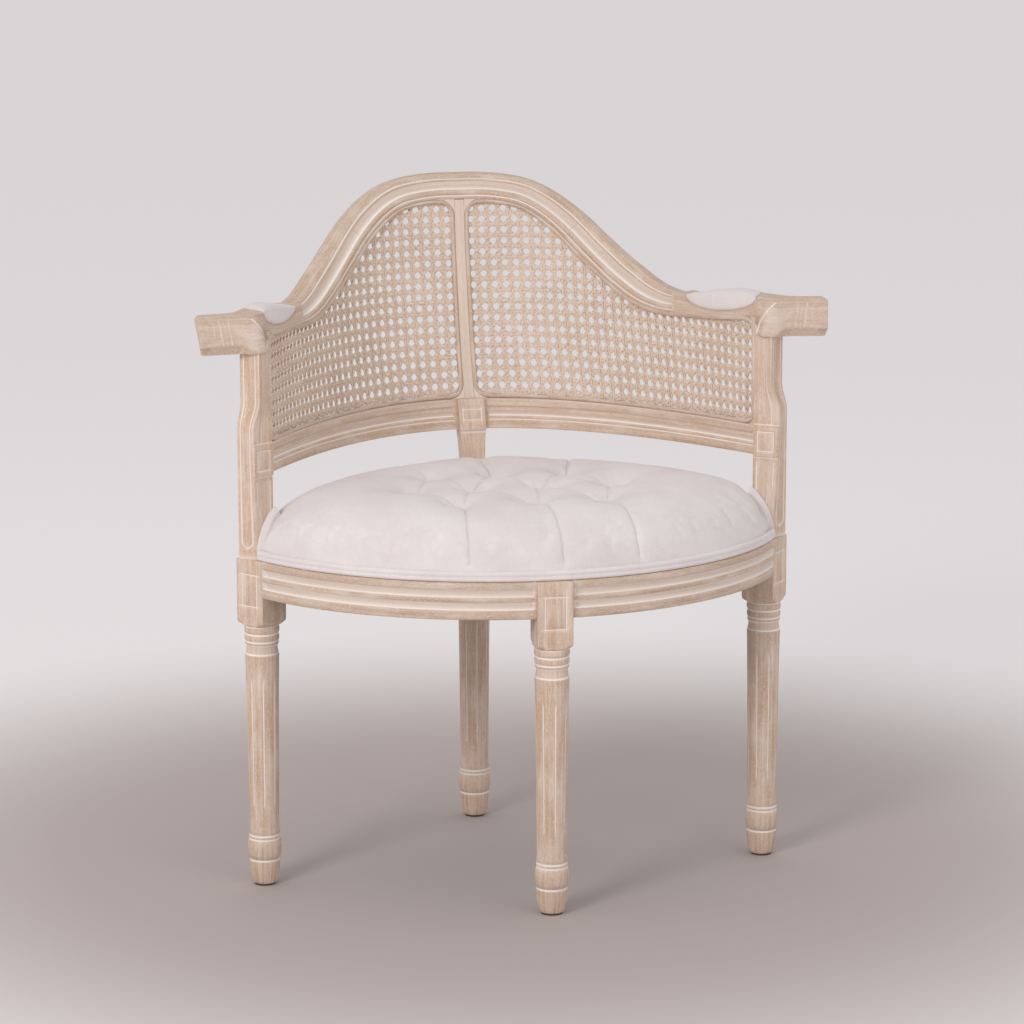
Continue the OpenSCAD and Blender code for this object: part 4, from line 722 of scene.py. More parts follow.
def back_rail_skin():
    first, last = 17.6, 304.0
    x = np.unique(np.concatenate([np.linspace(first, 240, 30), np.linspace(240, last, 24),
                                  [first + 5, first + 6.2]]))
    height = BACK_RAIL_BOTTOM + BACK_RAIL_FACE[:, 0] * (BACK_RAIL_TOP - BACK_RAIL_BOTTOM)
    rings, waxes = [], []
    for place in x:
        out = back_out(np.array(place), BACK_RAIL_BOTTOM)
        inside = float(np.clip((place - first - 5) / 1.2, 0, 1))
        front = back_point(place, height) + BACK_RAIL_FACE[:, 1:2] * max(inside, 0.15) * out
        rear_z = height[::-1][[0, 8, 16, 22, -1]]
        rear = back_point(place, rear_z) + BACK_RAIL_T * out
        rings.append(np.concatenate([front, rear]))
        waxes.append(np.concatenate([BACK_RAIL_FACE[:, 2] * inside + 0.3 * (1 - inside), np.zeros(5)]))
    rings = np.array(rings)
    edge = LOW_CORNERS[3] - LOW_CORNERS[2]
    normal = unit(np.array([-edge[1], edge[0]]))
    past = np.maximum((rings[..., :2] - LOW_CORNERS[2]) @ -normal, 0)
    rings[..., :2] += past[..., None] * normal
    return Skin().add(rings, np.array(waxes))


def face_width(x):
    """How far one goes along the back for each millimetre of x."""
    return 1.0 / back_out(np.abs(x), 600.0)[..., 1]


def fillet_points(x0, z0, way_x, way_z, radius):
    """Outline in x and z of the wood left outside a rounded corner of the opening."""
    scale = 1.0 / float(face_width(x0))
    arc = [(x0 - way_x * radius * (1 - math.sin(t)) * scale, z0 - way_z * radius * (1 - math.cos(t)))
           for t in np.radians(np.linspace(0, 90, 9))]
    return [(x0, z0)] + arc


def fillet_skin(skin, outline, depth=19.0):
    """The fillet's outline carried straight back through the rail."""
    xs, zs = np.array(outline).T
    front, out = back_point(xs, zs), back_out(np.maximum(xs, 0.6), zs)
    skin.add(np.array([front + 0.05 * out, front + depth * out]), 0.15)


for side, flip in SIDES:
    rail = back_rail_skin()
    fillet_skin(rail, fillet_points(BACK_HALF_W, BACK_RAIL_TOP, 1, -1, 15.0))
    rail.piece(f"back_rail_{side}_oak", oak_low, "oak", [f"back_rail_{side}"], flip_x=flip)

# %% [markdown]
# The top rail is one moulding cut into three: the crest and two shoulders. A bead side, a reed
# between two wax lines, a hollow, a thin ridge and a broad rounded back follow one another
# outwards. Carrying that section along the panel's upper edge gives the whole sweep.

# %% Crest and shoulders
TOP_RAIL_SECTION = np.array([  # outwards from the panel, depth, wax
    (5.8, 0.9, 0.5), (6.3, 0.1, 0.2), (7.6, 0, 0), (8.8, 0.2, 0.1), (9.3, 0.8, 0.8), (9.9, 1.5, 1),
    (10.5, 1.4, 0.8), (11.1, 0.8, 0.2), (12.4, 0.4, 0), (14.4, 0.5, 0), (16.2, 1.3, 0), (17.3, 2.3, 0.2),
    (17.9, 3.6, 0.9), (18.6, 4.9, 1), (19.6, 6.6, 0.7), (21.5, 9.3, 0.55), (23.8, 11.4, 0.5),
    (26, 12.6, 0.5), (27.2, 12.7, 0.7), (27.7, 12.1, 0.2), (28.6, 11.7, 0), (29.5, 12.1, 0.1),
    (30.0, 13, 0.8), (30.6, 14, 0.9), (31.2, 14.3, 0.2), (33, 15.1, 0), (35, 17.2, 0), (36.6, 20.2, 0),
    (37.7, 23.8, 0), (38, 27.5, 0), (37.8, 31.5, 0), (36.7, 35.5, 0), (34.6, 38.6, 0), (31.5, 40.6, 0),
    (27, 41.6, 0), (21, 42, 0), (15, 41.4, 0), (10.2, 39.2, 0), (7.2, 35, 0), (6, 29.5, 0)])


def top_rail_skin(first, last, count):
    x = np.linspace(first, last, count)
    x = np.unique(np.concatenate([x, [first + 0.4, last - 0.4]]))
    size = np.maximum(np.abs(x), 1e-6)
    up, out = open_up(size), back_out(size, open_z(size))
    start = open_point(size)
    near_arm = np.clip((size - 182) / (ARM_JOINT_X - 182), 0, 1)
    width = 1 - 0.26 * near_arm**2 * (3 - 2 * near_arm)
    rise = BEAD_W + (TOP_RAIL_SECTION[None, :, :1] - BEAD_W) * width[:, None, None]
    rings = (start[:, None] + rise * up[:, None]
             + TOP_RAIL_SECTION[None, :, 1:2] * out[:, None])
    rings[..., 0] *= np.where(x < 0, -1, 1)[:, None]
    wax = np.repeat(TOP_RAIL_SECTION[None, :, 2], len(x), 0)
    wax[0], wax[-1] = np.maximum(wax[0], 0.55), np.maximum(wax[-1], 0.55)
    return Skin().add(rings, wax)


top_rail_skin(-CREST_HALF_W + 0.08, CREST_HALF_W - 0.08, 81).piece("crest_oak", oak_back_shaded, "oak", ["crest"])
for side, flip in SIDES:
    top_rail_skin(CREST_HALF_W + 0.08, ARM_JOINT_X - 0.08, 40).piece(
        f"shoulder_{side}_oak", oak_back_shaded, "oak", [f"shoulder_{side}"], flip_x=flip)

# %% [markdown]
# The muntin is a plain flat bar between the two panels. Small fillets of wood round off the
# corners of each opening, where it meets the crest, the boss and the posts.

# %% Muntin and corner fillets
def muntin_skin():
    h, rings = MUNTIN_W / 2, []
    for z in np.concatenate([np.linspace(551.2, 785, 26), [790, 795, 799, 803]]):
        y = float(stile_y(z))
        half = [(h - 0.7, y, z), (h, y + 0.7, z), (h, y + 19.3, z), (h - 0.7, y + 20, z)]
        rings.append([(-half[0][0], y, z)] + half + [(-x, depth, z) for x, depth, z in half[:0:-1]])
    return Skin().add(np.array(rings), grain_from=BACK_RAIL_TOP)


OPEN_W0 = OPEN_IN_X - BEAD_W
muntin = muntin_skin()
for flip in (1, -1):
    for z0, way_z, radius in ((float(open_z(OPEN_W0)) + BEAD_W, 1, 22.0), (BACK_RAIL_TOP, -1, 20.0)):
        corner = Skin()
        fillet_skin(corner, fillet_points(OPEN_W0, z0, -1, way_z, radius))
        muntin.add((corner.points[0] * [flip, 1, 1]).reshape(2, -1, 3), 0.1)
muntin.piece("muntin_oak", oak_muntin, "oak", ["back_muntin"])

# %% [markdown]
# The arms leave the moulded rail with a smooth hollow inner side and swing out over the posts
# to blunt square ends. The front and rear sides follow two separate paths, because the arm
# turns more sharply than it is thick. A shallow saddle in its top takes the pad.

# %% Arm paths and sections
ARM_START_X = ARM_JOINT_X + 0.075
ARM_BEND_X = ARM_START_X + (BACK_HALF_W - ARM_START_X) * np.array([0, 0.28, 0.55, 0.8])
ARM_REACH, ARM_FORWARD = 82, 36
ARM_FRONT = [(x, float(back_y(x, open_z(x)))) for x in ARM_BEND_X] + [
    (BACK_HALF_W + a * ARM_REACH, BACK_END_Y - b * ARM_FORWARD)
    for a, b in ((0, 0), (0.12, 0.39), (0.31, 0.58), (0.58, 0.73), (1, 1))]
ARM_REAR = [tuple((open_point(x) + ARM_T * back_out(x, open_z(x)))[:2]) for x in ARM_BEND_X] + [
    (BACK_HALF_W + a * ARM_REACH, BACK_END_Y + b * ARM_T)
    for a, b in ((0.5, 0.42), (0.57, 0.27), (0.67, 0.19), (0.82, 0.13), (1.14, 0.1))]
ARM_KNOTS = len(ARM_FRONT) - 1
TILT_TO, PAD_FROM, PAD_TO, PAD_T, PAD_CROWN = 0.5, 0.6, 3.95, 6, 5.5
REAR_PLACES = [(0, 0), (0.6, 0.5), (2.4, 1.75), (3.95, 2.95), (5, 4.2), (6, 5.5), (ARM_KNOTS, ARM_KNOTS)]
ARM_START_UP = open_up(ARM_START_X)
ARM_START_SLOPE = ARM_START_UP[:2] / ARM_START_UP[2]
ARM_LOW_TOP = OPEN_LOW_Z + TOP_RAIL_W * 0.8
ARM_TOP_SHARES = [(0, 0), (1, 0.05), (2, 0.4), (3, 0.8), (4, 0.95), (5, 1), (ARM_KNOTS, 0.92)]


def path_at(points, u):
    return np.array([float(curve_at([(k, p[i]) for k, p in enumerate(points)], u)) for i in (0, 1)])


# How far the four corners of the arm's blunt end lie from the end of the two plain paths:
# front low, front high, rear low, rear high
END_CORNERS = np.array([[(4.8, 5.8), (6.6, 7.6)], [(-11.5, -1.4), (-3.0, -0.4)]])


def arm_place(u, depth, height):
    """Point at a place along the arm, a depth behind its front and a height."""
    front, rear = path_at(ARM_FRONT, u), path_at(ARM_REAR, float(curve_at(REAR_PLACES, u)))
    tilt = (height - float(open_z(ARM_START_X))) * max(1 - u / TILT_TO, 0)
    p = front + depth / ARM_T * (rear - front) + tilt * ARM_START_SLOPE
    late = min(max((u - 5.2) / 2.8, 0), 1)
    d, h = min(max(depth / ARM_T, 0), 1), min(max((height - POST_TOP) / ARM_H, 0), 1)
    ends = END_CORNERS[0] * (1 - d) + END_CORNERS[1] * d
    p = p + late**2 * (3 - 2 * late) * (ends[0] * (1 - h) + ends[1] * h)
    return (p[0], p[1], height)


def arm_top(u):
    return ARM_LOW_TOP + (POST_TOP + ARM_H - ARM_LOW_TOP) * float(curve_at(ARM_TOP_SHARES, u))


BEHIND_BEAD = 2.4  # how far the arm's lower edge is hidden behind the bead


def arm_bottom(u):
    if u <= 4:
        x = min(path_at(ARM_FRONT, u)[0], BACK_HALF_W)
        return float(open_z(x)) + BEAD_W - BEHIND_BEAD * min(u / 0.15, 1)
    return float(np.interp(u, [4, 4.05], [float(open_z(BACK_HALF_W)) + BEAD_W - BEHIND_BEAD, POST_TOP]))


def arm_lean(u):
    """How much farther back the top of the front face lies than its foot."""
    return ARM_T * 0.3 * min(max(u / ARM_KNOTS + 0.1, 0), 1)


FACE_SHARES = [0.04, 0.1, 0.18, 0.26, 0.34, 0.42, 0.5, 0.58, 0.66, 0.74, 0.82, 0.9, 0.96]


def pad_round(u):
    """1 in the middle of the pad, falling to 0 at its ends."""
    s = (u - PAD_FROM) / (PAD_TO - PAD_FROM)
    return 0.0 if s < -0.001 or s > 1.001 else math.sqrt(max(1 - (2 * s - 1) ** 2, 0.01))


def pad_places(count):
    """Places along the pad, closer together towards its ends."""
    return PAD_FROM + (PAD_TO - PAD_FROM) * (1 - np.cos(np.linspace(0, math.pi, count))) / 2


def pad_ledge(u):
    """Height at which the pad's saddle starts on the front face."""
    low, high = arm_bottom(u), arm_top(u)
    return high - max(ARM_H * 0.4 * pad_round(u), (high - low) * 0.12)


# The edge where the hollow inner side ends: share of the arm's height, place along the arm
HOLLOW_EDGE = [(0, 3.95), (0.12, 4.15), (0.38, 4.4), (0.56, 4.75), (0.78, 5.25), (1, 5.85)]
# Cutter marks that hold wax near the blunt end: place along the arm, strength
CUTTER_MARKS = [(6.45, 0.5), (6.8, 0.75), (7.0, 0.55), (7.18, 0.8), (7.4, 0.6), (7.62, 0.5)]


def arm_face(u, z, slope):
    """Depth and wax of the front face at a height."""
    low, high = arm_bottom(u), arm_top(u)
    over_post = min(max((u - 2.9) / 1.1, 0), 1)
    foot = low - (low - POST_TOP) * over_post**2 * (3 - 2 * over_post)
    share = min((z - foot) / (high - foot), 1)
    inside = float(curve_at(HOLLOW_EDGE, share)) - u
    hollow = 4.2 * (1 - math.exp(-max(inside, 0) / 0.45)) * math.sin(math.pi * share ** 0.8)
    hollow *= min(1, u / 1.2)
    forward = 5.0 * math.exp(-((u - 5.3) / 0.85) ** 4) * (1 - share) ** 0.7
    line = max(0.0, 1.5 - abs(inside) * 11 / 1.15) if share > 0.05 else 0.0
    marks = sum(strong * math.exp(-((u - place - 0.12 * share) / 0.035) ** 2)
                for place, strong in CUTTER_MARKS)
    return slope * share + hollow - forward, max(min(line, 1) * 0.95, marks * (0.1 < share < 0.97))


def arm_ring(u):
    """Section of the arm, from its lower front edge up, over the saddle and down the rear."""
    low, high, round_share = arm_bottom(u), arm_top(u), pad_round(u)
    h, t, ledge, slope = high - low, PAD_T * round_share, pad_ledge(u), arm_lean(u)
    under = 11.0 * min(1, max(0, (u - 5.8) / 0.5))
    foot = low + max(under, 1.6)
    low_depth = arm_face(u, foot, slope)[0]
    at_ledge, ledge_wax = arm_face(u, ledge, slope)
    front = [(max(ARM_T * 0.2, low_depth + 9), low, 0),
             (low_depth + 0.9 * max(under, 1.4), low + 0.3 + 0.05 * under, 0),
             (low_depth + 0.12, foot - 0.5, 0)]
    for s in FACE_SHARES:
        z = foot + (ledge - foot) * s
        depth, line = arm_face(u, z, slope)
        front.append((depth, z, line))
    saddle = [(at_ledge, ledge - 0.4, ledge_wax), (at_ledge + 0.3, ledge, 0), (at_ledge + t + 0.3, ledge, 0),
              (slope + t + 0.3, high - t - h * 0.06, 0), (slope + t + 1.4, high - t - h * 0.02, 0),
              (slope + t + ARM_T * 0.12, high - t, 0), (ARM_T * 0.5, high - t, 0),
              (ARM_T * 0.88 - t, high - t, 0), (ARM_T - t - 1.4, high - t - h * 0.02, 0),
              (ARM_T - t - 0.3, high - t - h * 0.06, 0),
              (ARM_T - t - 0.3, ledge, 0), (ARM_T - 0.3, ledge, 0), (ARM_T, ledge - 0.4, 0)]
    rear = [(ARM_T, low + (ledge - low) * s, 0) for s in (0.8, 0.6, 0.4, 0.2)]
    rear += [(ARM_T - 0.4, low + 1.4, 0), (ARM_T - 1.4, low + 0.4, 0), (ARM_T * 0.8, low, 0)]
    depths, heights, wax = zip(*(front + saddle + rear))
    return [arm_place(u, depth, height) for depth, height in zip(depths, heights)], wax


def arm_skin():
    stations = np.concatenate([
        [0, 0.15, 0.3, 0.45], pad_places(33), [4.0, 4.05, 4.1], np.arange(4.17, 6.1, 0.07),
        np.arange(6.12, ARM_KNOTS - 0.2, 0.045), [7.84, 7.91, 7.96, 7.99, ARM_KNOTS]])
    rings, waxes = zip(*(arm_ring(float(u)) for u in stations))
    rings, waxes = np.array(rings), np.array(waxes)
    waxes[0] = np.maximum(waxes[0], 0.6)
    end_z = rings[-1][:, 2]
    middle = rings[-1].mean(0)
    for ring, back, drop in zip(rings[-5:], (0, 0.01, 0.035, 0.08, 0.15), (0, 0.8, 2.0, 4.0, 7.0)):
        ring += (middle - ring) * [back * 0.35, back, 0]
        high = np.clip((ring[:, 2] - (end_z.max() - 7)) / 7, 0, 1)
        ring[:, 2] -= high**2 * drop
        low = np.clip((end_z.min() + 4 - ring[:, 2]) / 4, 0, 1)
        ring[:, 2] += low * drop * 0.25
    return Skin().add(rings, waxes)


for side, flip in SIDES:
    arm = arm_skin()
    fillet_skin(arm, fillet_points(BACK_HALF_W, float(open_z(BACK_HALF_W)) + BEAD_W, 1, 1, 15.5))
    arm.piece(f"arm_{side}_oak", oak_arm, "oak", [f"arm_{side}"], flip_x=flip)

print("wooden frame done")

# %% [markdown]
# A bead frames each panel and hides the edge of the cane. Its path follows the opening with
# rounded corners, and its half-round section is kept square to the back by the back's own
# direction at each point.

# %% Panel outline with rounded corners
def corner_curve(before, corner, after, radius):
    a, b = np.array(before) - corner, np.array(after) - corner
    start = corner + a / np.linalg.norm(a) * radius
    stop = corner + b / np.linalg.norm(b) * radius
    t = np.linspace(0, 1, 8)[:, None]
    round_arc = (1 - t) ** 2 * start + 2 * t * (1 - t) * np.array(corner) + t**2 * stop
    return [tuple(p) for p in round_arc]


def panel_path(outset):
    """Closed path round the right opening, outset from its edge, as x and z."""
    x_in, x_out, bottom = OPEN_IN_X - outset, OPEN_OUT_X + outset, OPEN_BOTTOM - outset
    top = []
    for x in np.linspace(x_in, x_out, 90):
        steep = float(abs(open_z(x + 1) - open_z(x - 1)) / 2)
        top.append((float(x), float(open_z(x)) + outset * (1.0 + 0.25 * steep)))
    far = top[-1]
    path = corner_curve((x_in, 700), (x_in, bottom), (100, bottom), 15 + outset)
    path += [(x, bottom) for x in np.linspace(x_in + 25, x_out - 16, 40)]
    path += corner_curve((200, bottom), (x_out, bottom), (x_out, 700), 9 + outset)
    path += [(x_out, z) for z in np.linspace(bottom + 20, far[1] - 14, 12)]
    path += corner_curve((x_out, 600), far, top[-8], 8 + outset)
    path += [p for p in top[::-1] if x_in + 22 < p[0] < x_out - 12]
    path += corner_curve(top[12], top[0], (x_in, 700), 18 + outset)
    path += [(x_in, z) for z in np.linspace(top[0][1] - 26, bottom + 24, 24)]
    return np.array(path)


# Across the bead and into the back. The wax on its flanks gives white wax, and it also marks where painted
# dashes of shade in the gaps come and go.
BEAD_SECTION = np.array([
    (-2.9, 4.2), (-2.9, 1.2), (-2.4, -0.2), (-1.2, -1.2), (0, -1.5), (1.2, -1.2), (2.4, -0.2), (2.9, 1.2),
    (2.9, 4.2)])
BEAD_WAX_AND_GAP_SHADE = [0, 0.8, 0.25, 0, 0, 0, 0.1, 1, 0.5]


def swept_on_back(path, section, wax):
    xs, zs = path.T
    spot = back_point(xs, zs)
    out = back_out(xs, zs)
    along = unit(np.roll(spot, -1, 0) - np.roll(spot, 1, 0))
    across = unit(np.cross(along, out))
    rings = spot[:, None] + section[None, :, :1] * across[:, None] + section[None, :, 1:2] * out[:, None]
    return Skin().add(rings, wax, closed=True)


for side, flip in SIDES:
    bead = swept_on_back(panel_path(BEAD_W / 2), BEAD_SECTION, BEAD_WAX_AND_GAP_SHADE)
    bead.piece(f"bead_{side}", oak_bead, "oak", [f"spline_{side}"], flip_x=flip)

# %% [markdown]
# Chair cane is woven in six strands: pairs upright, pairs across, and single strands both ways
# aslant that cut the corners of each square hole into an octagon. Geometry Nodes lay out each
# family of strands as curves, wave them over and under, and give them a flat section.

# %% Weave of the cane
WEAVE_SIZES = {"Width": 0.46, "Height": 0.27, "Pitch": 0.014, "Pair Gap": 0.0033, "Strand": 0.0024,
               "Thickness": 0.0009, "Wave": 0.0008}


def cane_tree(material):
    tree = bpy.data.node_groups.new("cane_weave", "GeometryNodeTree")
    sizes = {}
    for label, value in WEAVE_SIZES.items():
        sizes[label] = tree.interface.new_socket(label, in_out="INPUT", socket_type="NodeSocketFloat")
        sizes[label].default_value = value
    tree.interface.new_socket("Geometry", in_out="OUTPUT", socket_type="NodeSocketGeometry")
    size = tree.nodes.new("NodeGroupInput").outputs
    half_pi = math.pi / 2

    def calc(op, a, b=0.0):
        return math_node(tree, op, a, b)

    def vector(**parts):
        return add_node(tree, "ShaderNodeCombineXYZ", parts.items()).outputs[0]

    def geometry(kind, links, **values):
        return add_node(tree, "GeometryNode" + kind, links, **values).outputs[0]

    def family(turn, spacing, shift, strand, wave_axis, sign):
        """Parallel strands, turned about the panel's normal and waved over and under."""
        reach = calc("ADD", size["Width"], size["Height"])
        half = calc("MULTIPLY", reach, 0.5)
        whole_steps = calc("MULTIPLY", calc("ROUND", calc("DIVIDE", half, spacing)), spacing)
        first = calc("ADD", calc("MULTIPLY", whole_steps, -1.0), shift)
        count = calc("ROUND", calc("DIVIDE", reach, spacing))
        line = geometry("MeshLine", [("Count", count), ("Offset", vector(X=spacing)),
                                     ("Start Location", vector(X=first))])
        strip = geometry("CurvePrimitiveLine", [("Start", vector(Y=calc("MULTIPLY", half, -1.0))),
                                                ("End", vector(Y=half))])
        cut = geometry("ResampleCurve", [("Curve", strip), ("Length", calc("MULTIPLY", size["Pitch"], 0.25))],
                       mode="LENGTH")
        laid = geometry("InstanceOnPoints", [("Points", line), ("Instance", cut)])
        spun = geometry("Transform", [("Geometry", geometry("RealizeInstances", [(0, laid)]))],
                        Rotation=(0, 0, turn))
        place = add_node(tree, "ShaderNodeSeparateXYZ", [(0, geometry("InputPosition", []))])
        turns = calc("MULTIPLY", calc("DIVIDE", place.outputs[wave_axis], size["Pitch"]), 2 * math.pi)
        wave = calc("MULTIPLY", calc("COSINE", turns), sign)
        lift = vector(Z=calc("MULTIPLY", wave, size["Wave"]))
        waved = geometry("SetPosition", [("Geometry", spun), ("Offset", lift)])
        upright = geometry("SetCurveNormal", [(0, waved)], mode="Z_UP")
        flat = geometry("CurvePrimitiveQuadrilateral", [("Width", strand), ("Height", size["Thickness"])])
        return geometry("CurveToMesh", [("Curve", upright), ("Profile Curve", flat)], Fill_Caps=True)

    half_gap = calc("MULTIPLY", size["Pair Gap"], 0.5)
    slanted = calc("MULTIPLY", size["Pitch"], math.sqrt(0.5))
    wide = calc("MULTIPLY", size["Strand"], 1.08)
    families = [family(turn, size["Pitch"], calc("MULTIPLY", half_gap, way), size["Strand"], axis, sign)
                for turn, axis, sign in ((0, "Y", 0.9), (half_pi, "X", -0.9)) for way in (1.0, -1.0)]
    families += [family(turn, slanted, calc("MULTIPLY", slanted, 0.5), wide, "X", sign)
                 for turn, sign in ((half_pi / 2, 1.6), (-half_pi / 2, -1.6))]
    join = tree.nodes.new("GeometryNodeJoinGeometry")
    for part in families:
        tree.links.new(part, join.inputs[0])
    paint = add_node(tree, "GeometryNodeSetMaterial", [
        ("Geometry", geometry("RealizeInstances", [(0, join.outputs[0])]))], Material=material)
    tree.links.new(paint.outputs[0], tree.nodes.new("NodeGroupOutput").inputs[0])
    return tree, sizes


# %% [markdown]
# Real cane is glossy on its outer side, cream with a pinkish tan, and a little different from
# strand to strand.

# %% Cane finish
def cane_finish():
    material, tree, shader = new_material("cane", 0.5)
    uv = add_node(tree, "ShaderNodeUVMap", uv_map="grain").outputs["UV"]
    blotch = noise(tree, stretch(tree, uv, (14, 14, 1)), 1.0, 4.0, 0.6)
    along = noise(tree, stretch(tree, uv, (650, 200, 1)), 1.0, 3.0, 0.6)
    across = noise(tree, stretch(tree, uv, (200, 650, 1), (3, 5, 0)), 1.0, 3.0, 0.6)
    colour = mix_colour(tree, ramp(tree, blotch, 0.25, 0.75), (0.62, 0.475, 0.38), (0.70, 0.565, 0.47))
    light = times(tree, ramp(tree, math_node(tree, "MINIMUM", along, across), 0.44, 0.3), 0.6)
    colour = mix_colour(tree, light, colour, (0.82, 0.72, 0.63))
    dark = times(tree, ramp(tree, larger(tree, along, across), 0.54, 0.68), 0.7)
    colour = mix_colour(tree, dark, colour, (0.36, 0.24, 0.165))
    tree.links.new(colour, shader.inputs["Base Color"])
    add_bump(tree, shader, added(tree, along, across), 0.4, 0.0003)
    return material


cane_material = cane_finish()
weave, weave_sizes = cane_tree(cane_material)
print("weave tree has", len(weave.nodes), "nodes")

# %% [markdown]
# The flat weave is then laid on the curved back. Each strand point keeps its height, its place
# across becomes a distance along the curve, and its lift becomes depth. Faces beyond the bead
# are cut away first.

# %% Lay the weave on the back
# Depth of the cane in the rail, and the height and level of the panel's middle
CANE_DEPTH, CANE_MIDDLE_Z, CANE_RUN_Z = 4.9, 672.0, 640.0


def flat_weave():
    holder = bpy.data.objects.new("weave_holder", bpy.data.meshes.new("weave_holder"))
    bpy.context.scene.collection.objects.link(holder)
    layer = holder.modifiers.new("weave", "NODES")
    layer.node_group = weave
    for label, value in WEAVE_SIZES.items():
        layer[weave_sizes[label].identifier] = value
    depsgraph = bpy.context.evaluated_depsgraph_get()
    mesh = bpy.data.meshes.new_from_object(holder.evaluated_get(depsgraph))
    bpy.data.objects.remove(holder)
    return mesh


def lay_cane(flat, side, sign):
    """A copy of the flat weave, cut to the panel and bent onto the back."""
    xs = np.linspace(0, BACK_HALF_W, 609)
    run = np.concatenate([[0], np.cumsum(np.hypot(np.diff(xs), np.diff(back_y(xs, CANE_RUN_Z))))])
    middle = np.array([run[-1] * 0.5, CANE_MIDDLE_Z])
    mesh = flat.copy()
    bm = bmesh.new()
    bm.from_mesh(mesh)
    drop = []
    for v in bm.verts:
        s, z = v.co.x * 1000 + middle[0], v.co.y * 1000 + middle[1]
        x = float(np.interp(s, run, xs))
        inside = (OPEN_IN_X - 4.4 < x < OPEN_OUT_X + 3.4 and -2 < s < run[-1] + 2
                  and OPEN_BOTTOM - 4.4 < z < float(open_top[int(min(max(x, 0), 303.9) * 2)]) + 4.6)
        if not inside:
            drop.append(v)
    bmesh.ops.delete(bm, geom=drop, context="VERTS")
    bmesh.ops.delete(bm, geom=[v for v in bm.verts if not v.link_faces], context="VERTS")
    bmesh.ops.holes_fill(bm, edges=[e for e in bm.edges if e.is_boundary], sides=6)
    bmesh.ops.recalc_face_normals(bm, faces=bm.faces)
    s, z, lift = 1000 * np.array([tuple(v.co) for v in bm.verts]).T
    x, z = np.interp(s + middle[0], run, xs), z + middle[1]
    place = to_frame(back_point(x, z) + (CANE_DEPTH - lift)[:, None] * back_out(x, z))
    place[:, 0] *= sign
    layer = bm.loops.layers.uv.get("grain") or bm.loops.layers.uv.new("grain")
    for v, p in zip(bm.verts, place):
        for loop in v.link_loops:
            loop[layer].uv = (v.co.x, v.co.y)
        v.co = p
    bmesh.ops.recalc_face_normals(bm, faces=bm.faces)
    bm.to_mesh(mesh)
    bm.free()
    return finish_mesh(f"cane_{side}_woven", mesh, cane_material, [f"cane_{side}"], 50)


open_top = open_z(np.arange(0, 304.5, 0.5))
weave_mesh = flat_weave()
print("flat weave", len(weave_mesh.polygons), "faces")
for side, sign in (("right", 1), ("left", -1)):
    lay_cane(weave_mesh, side, sign)

# %% [markdown]
# The linen is a plain weave of pale, uneven yarns. Two waves at right angles make the weave,
# slow noise makes the yarns thicker here and there, and a sheen softens the edges of the folds.

# %% Linen
YARN = 0.00105  # width of a pair of yarns, in metres


def linen_finish(name):
    material, tree, shader = new_material(name, 0.92)
    place = add_node(tree, "ShaderNodeUVMap", uv_map="grain").outputs["UV"]
    slub_u = noise(tree, stretch(tree, place, (30, 900, 30)), 1.0, 3.0, 0.6)
    slub_v = noise(tree, stretch(tree, place, (900, 30, 30), (5, 2, 0)), 1.0, 3.0, 0.6)
    parts = add_node(tree, "ShaderNodeSeparateXYZ", [("Vector", place)])
    turns = [times(tree, parts.outputs[i], 2 * math.pi / YARN) for i in (0, 1)]
    warp, weft = (math_node(tree, "SINE", turn, 0.0) for turn in turns)
    cloth = times(tree, warp, weft)
    slub = larger(tree, slub_u, slub_v)
    soft = noise(tree, stretch(tree, place, (9, 9, 9)), 1.0, 4.0, 0.6)
    colour = mix_colour(tree, ramp(tree, soft, 0.3, 0.7), (0.73, 0.667, 0.665), (0.80, 0.747, 0.745))
    colour = mix_colour(tree, times(tree, ramp(tree, slub, 0.5, 0.75), 0.45), colour, (0.62, 0.555, 0.52))
    shade = times(tree, ramp(tree, cloth, 0.2, -1.0, False), 0.16)
    colour = mix_colour(tree, shade, colour, (0.52, 0.46, 0.42))
    tree.links.new(colour, shader.inputs["Base Color"])
    shader.inputs["Sheen Weight"].default_value = 0.25
    shader.inputs["Sheen Roughness"].default_value = 0.5
    add_bump(tree, shader, added(tree, times(tree, cloth, 0.5), times(tree, slub, 0.9)), 0.45, 0.0006)
    return material


linen = linen_finish("linen")
print("linen made")

# %% [markdown]
# The seat's outline is bounded by three arcs, over the front rail and the two rear ones. The
# cushion and its gimp are both measured inwards from it.

# %% Outline of the seat
SEAT_MID = np.array([0, 29.5])
SEAT_CIRCLES = [(FRONT_CENTRE, FRONT_R), (REAR_CENTRE, REAR_R), (REAR_CENTRE * [-1, 1], REAR_R)]


def seat_reach(angles, inset=0.0):
    """How far the outline lies from the seat's middle, in each direction."""
    d = np.stack([np.cos(angles), np.sin(angles)], -1)
    reach = []
    for centre, radius in SEAT_CIRCLES:
        offset = SEAT_MID - centre
        b = d @ offset
        reach.append(-b + np.sqrt(b**2 - offset @ offset + (radius - inset) ** 2))
    return np.min(reach, 0)


def seat_point(angles, inset, z):
    d = np.stack([np.cos(angles), np.sin(angles)], -1)
    xy = SEAT_MID + seat_reach(angles, inset)[:, None] * d
    return np.concatenate([xy, np.broadcast_to(z, (len(angles), 1))], 1)


print("seat", round(2 * float(seat_reach(np.zeros(1))[0])), "mm wide at its middle")

# %% [markdown]
# The cushion is sprung and stuffed, then tied down with tufts. A cloth simulation blows the CAD
# shape up between its pinned tufts and its nailed foot. The pleats that run from tuft to tuft
# and down to the edge are sharper than a simulation gives, so they are pressed in afterwards.

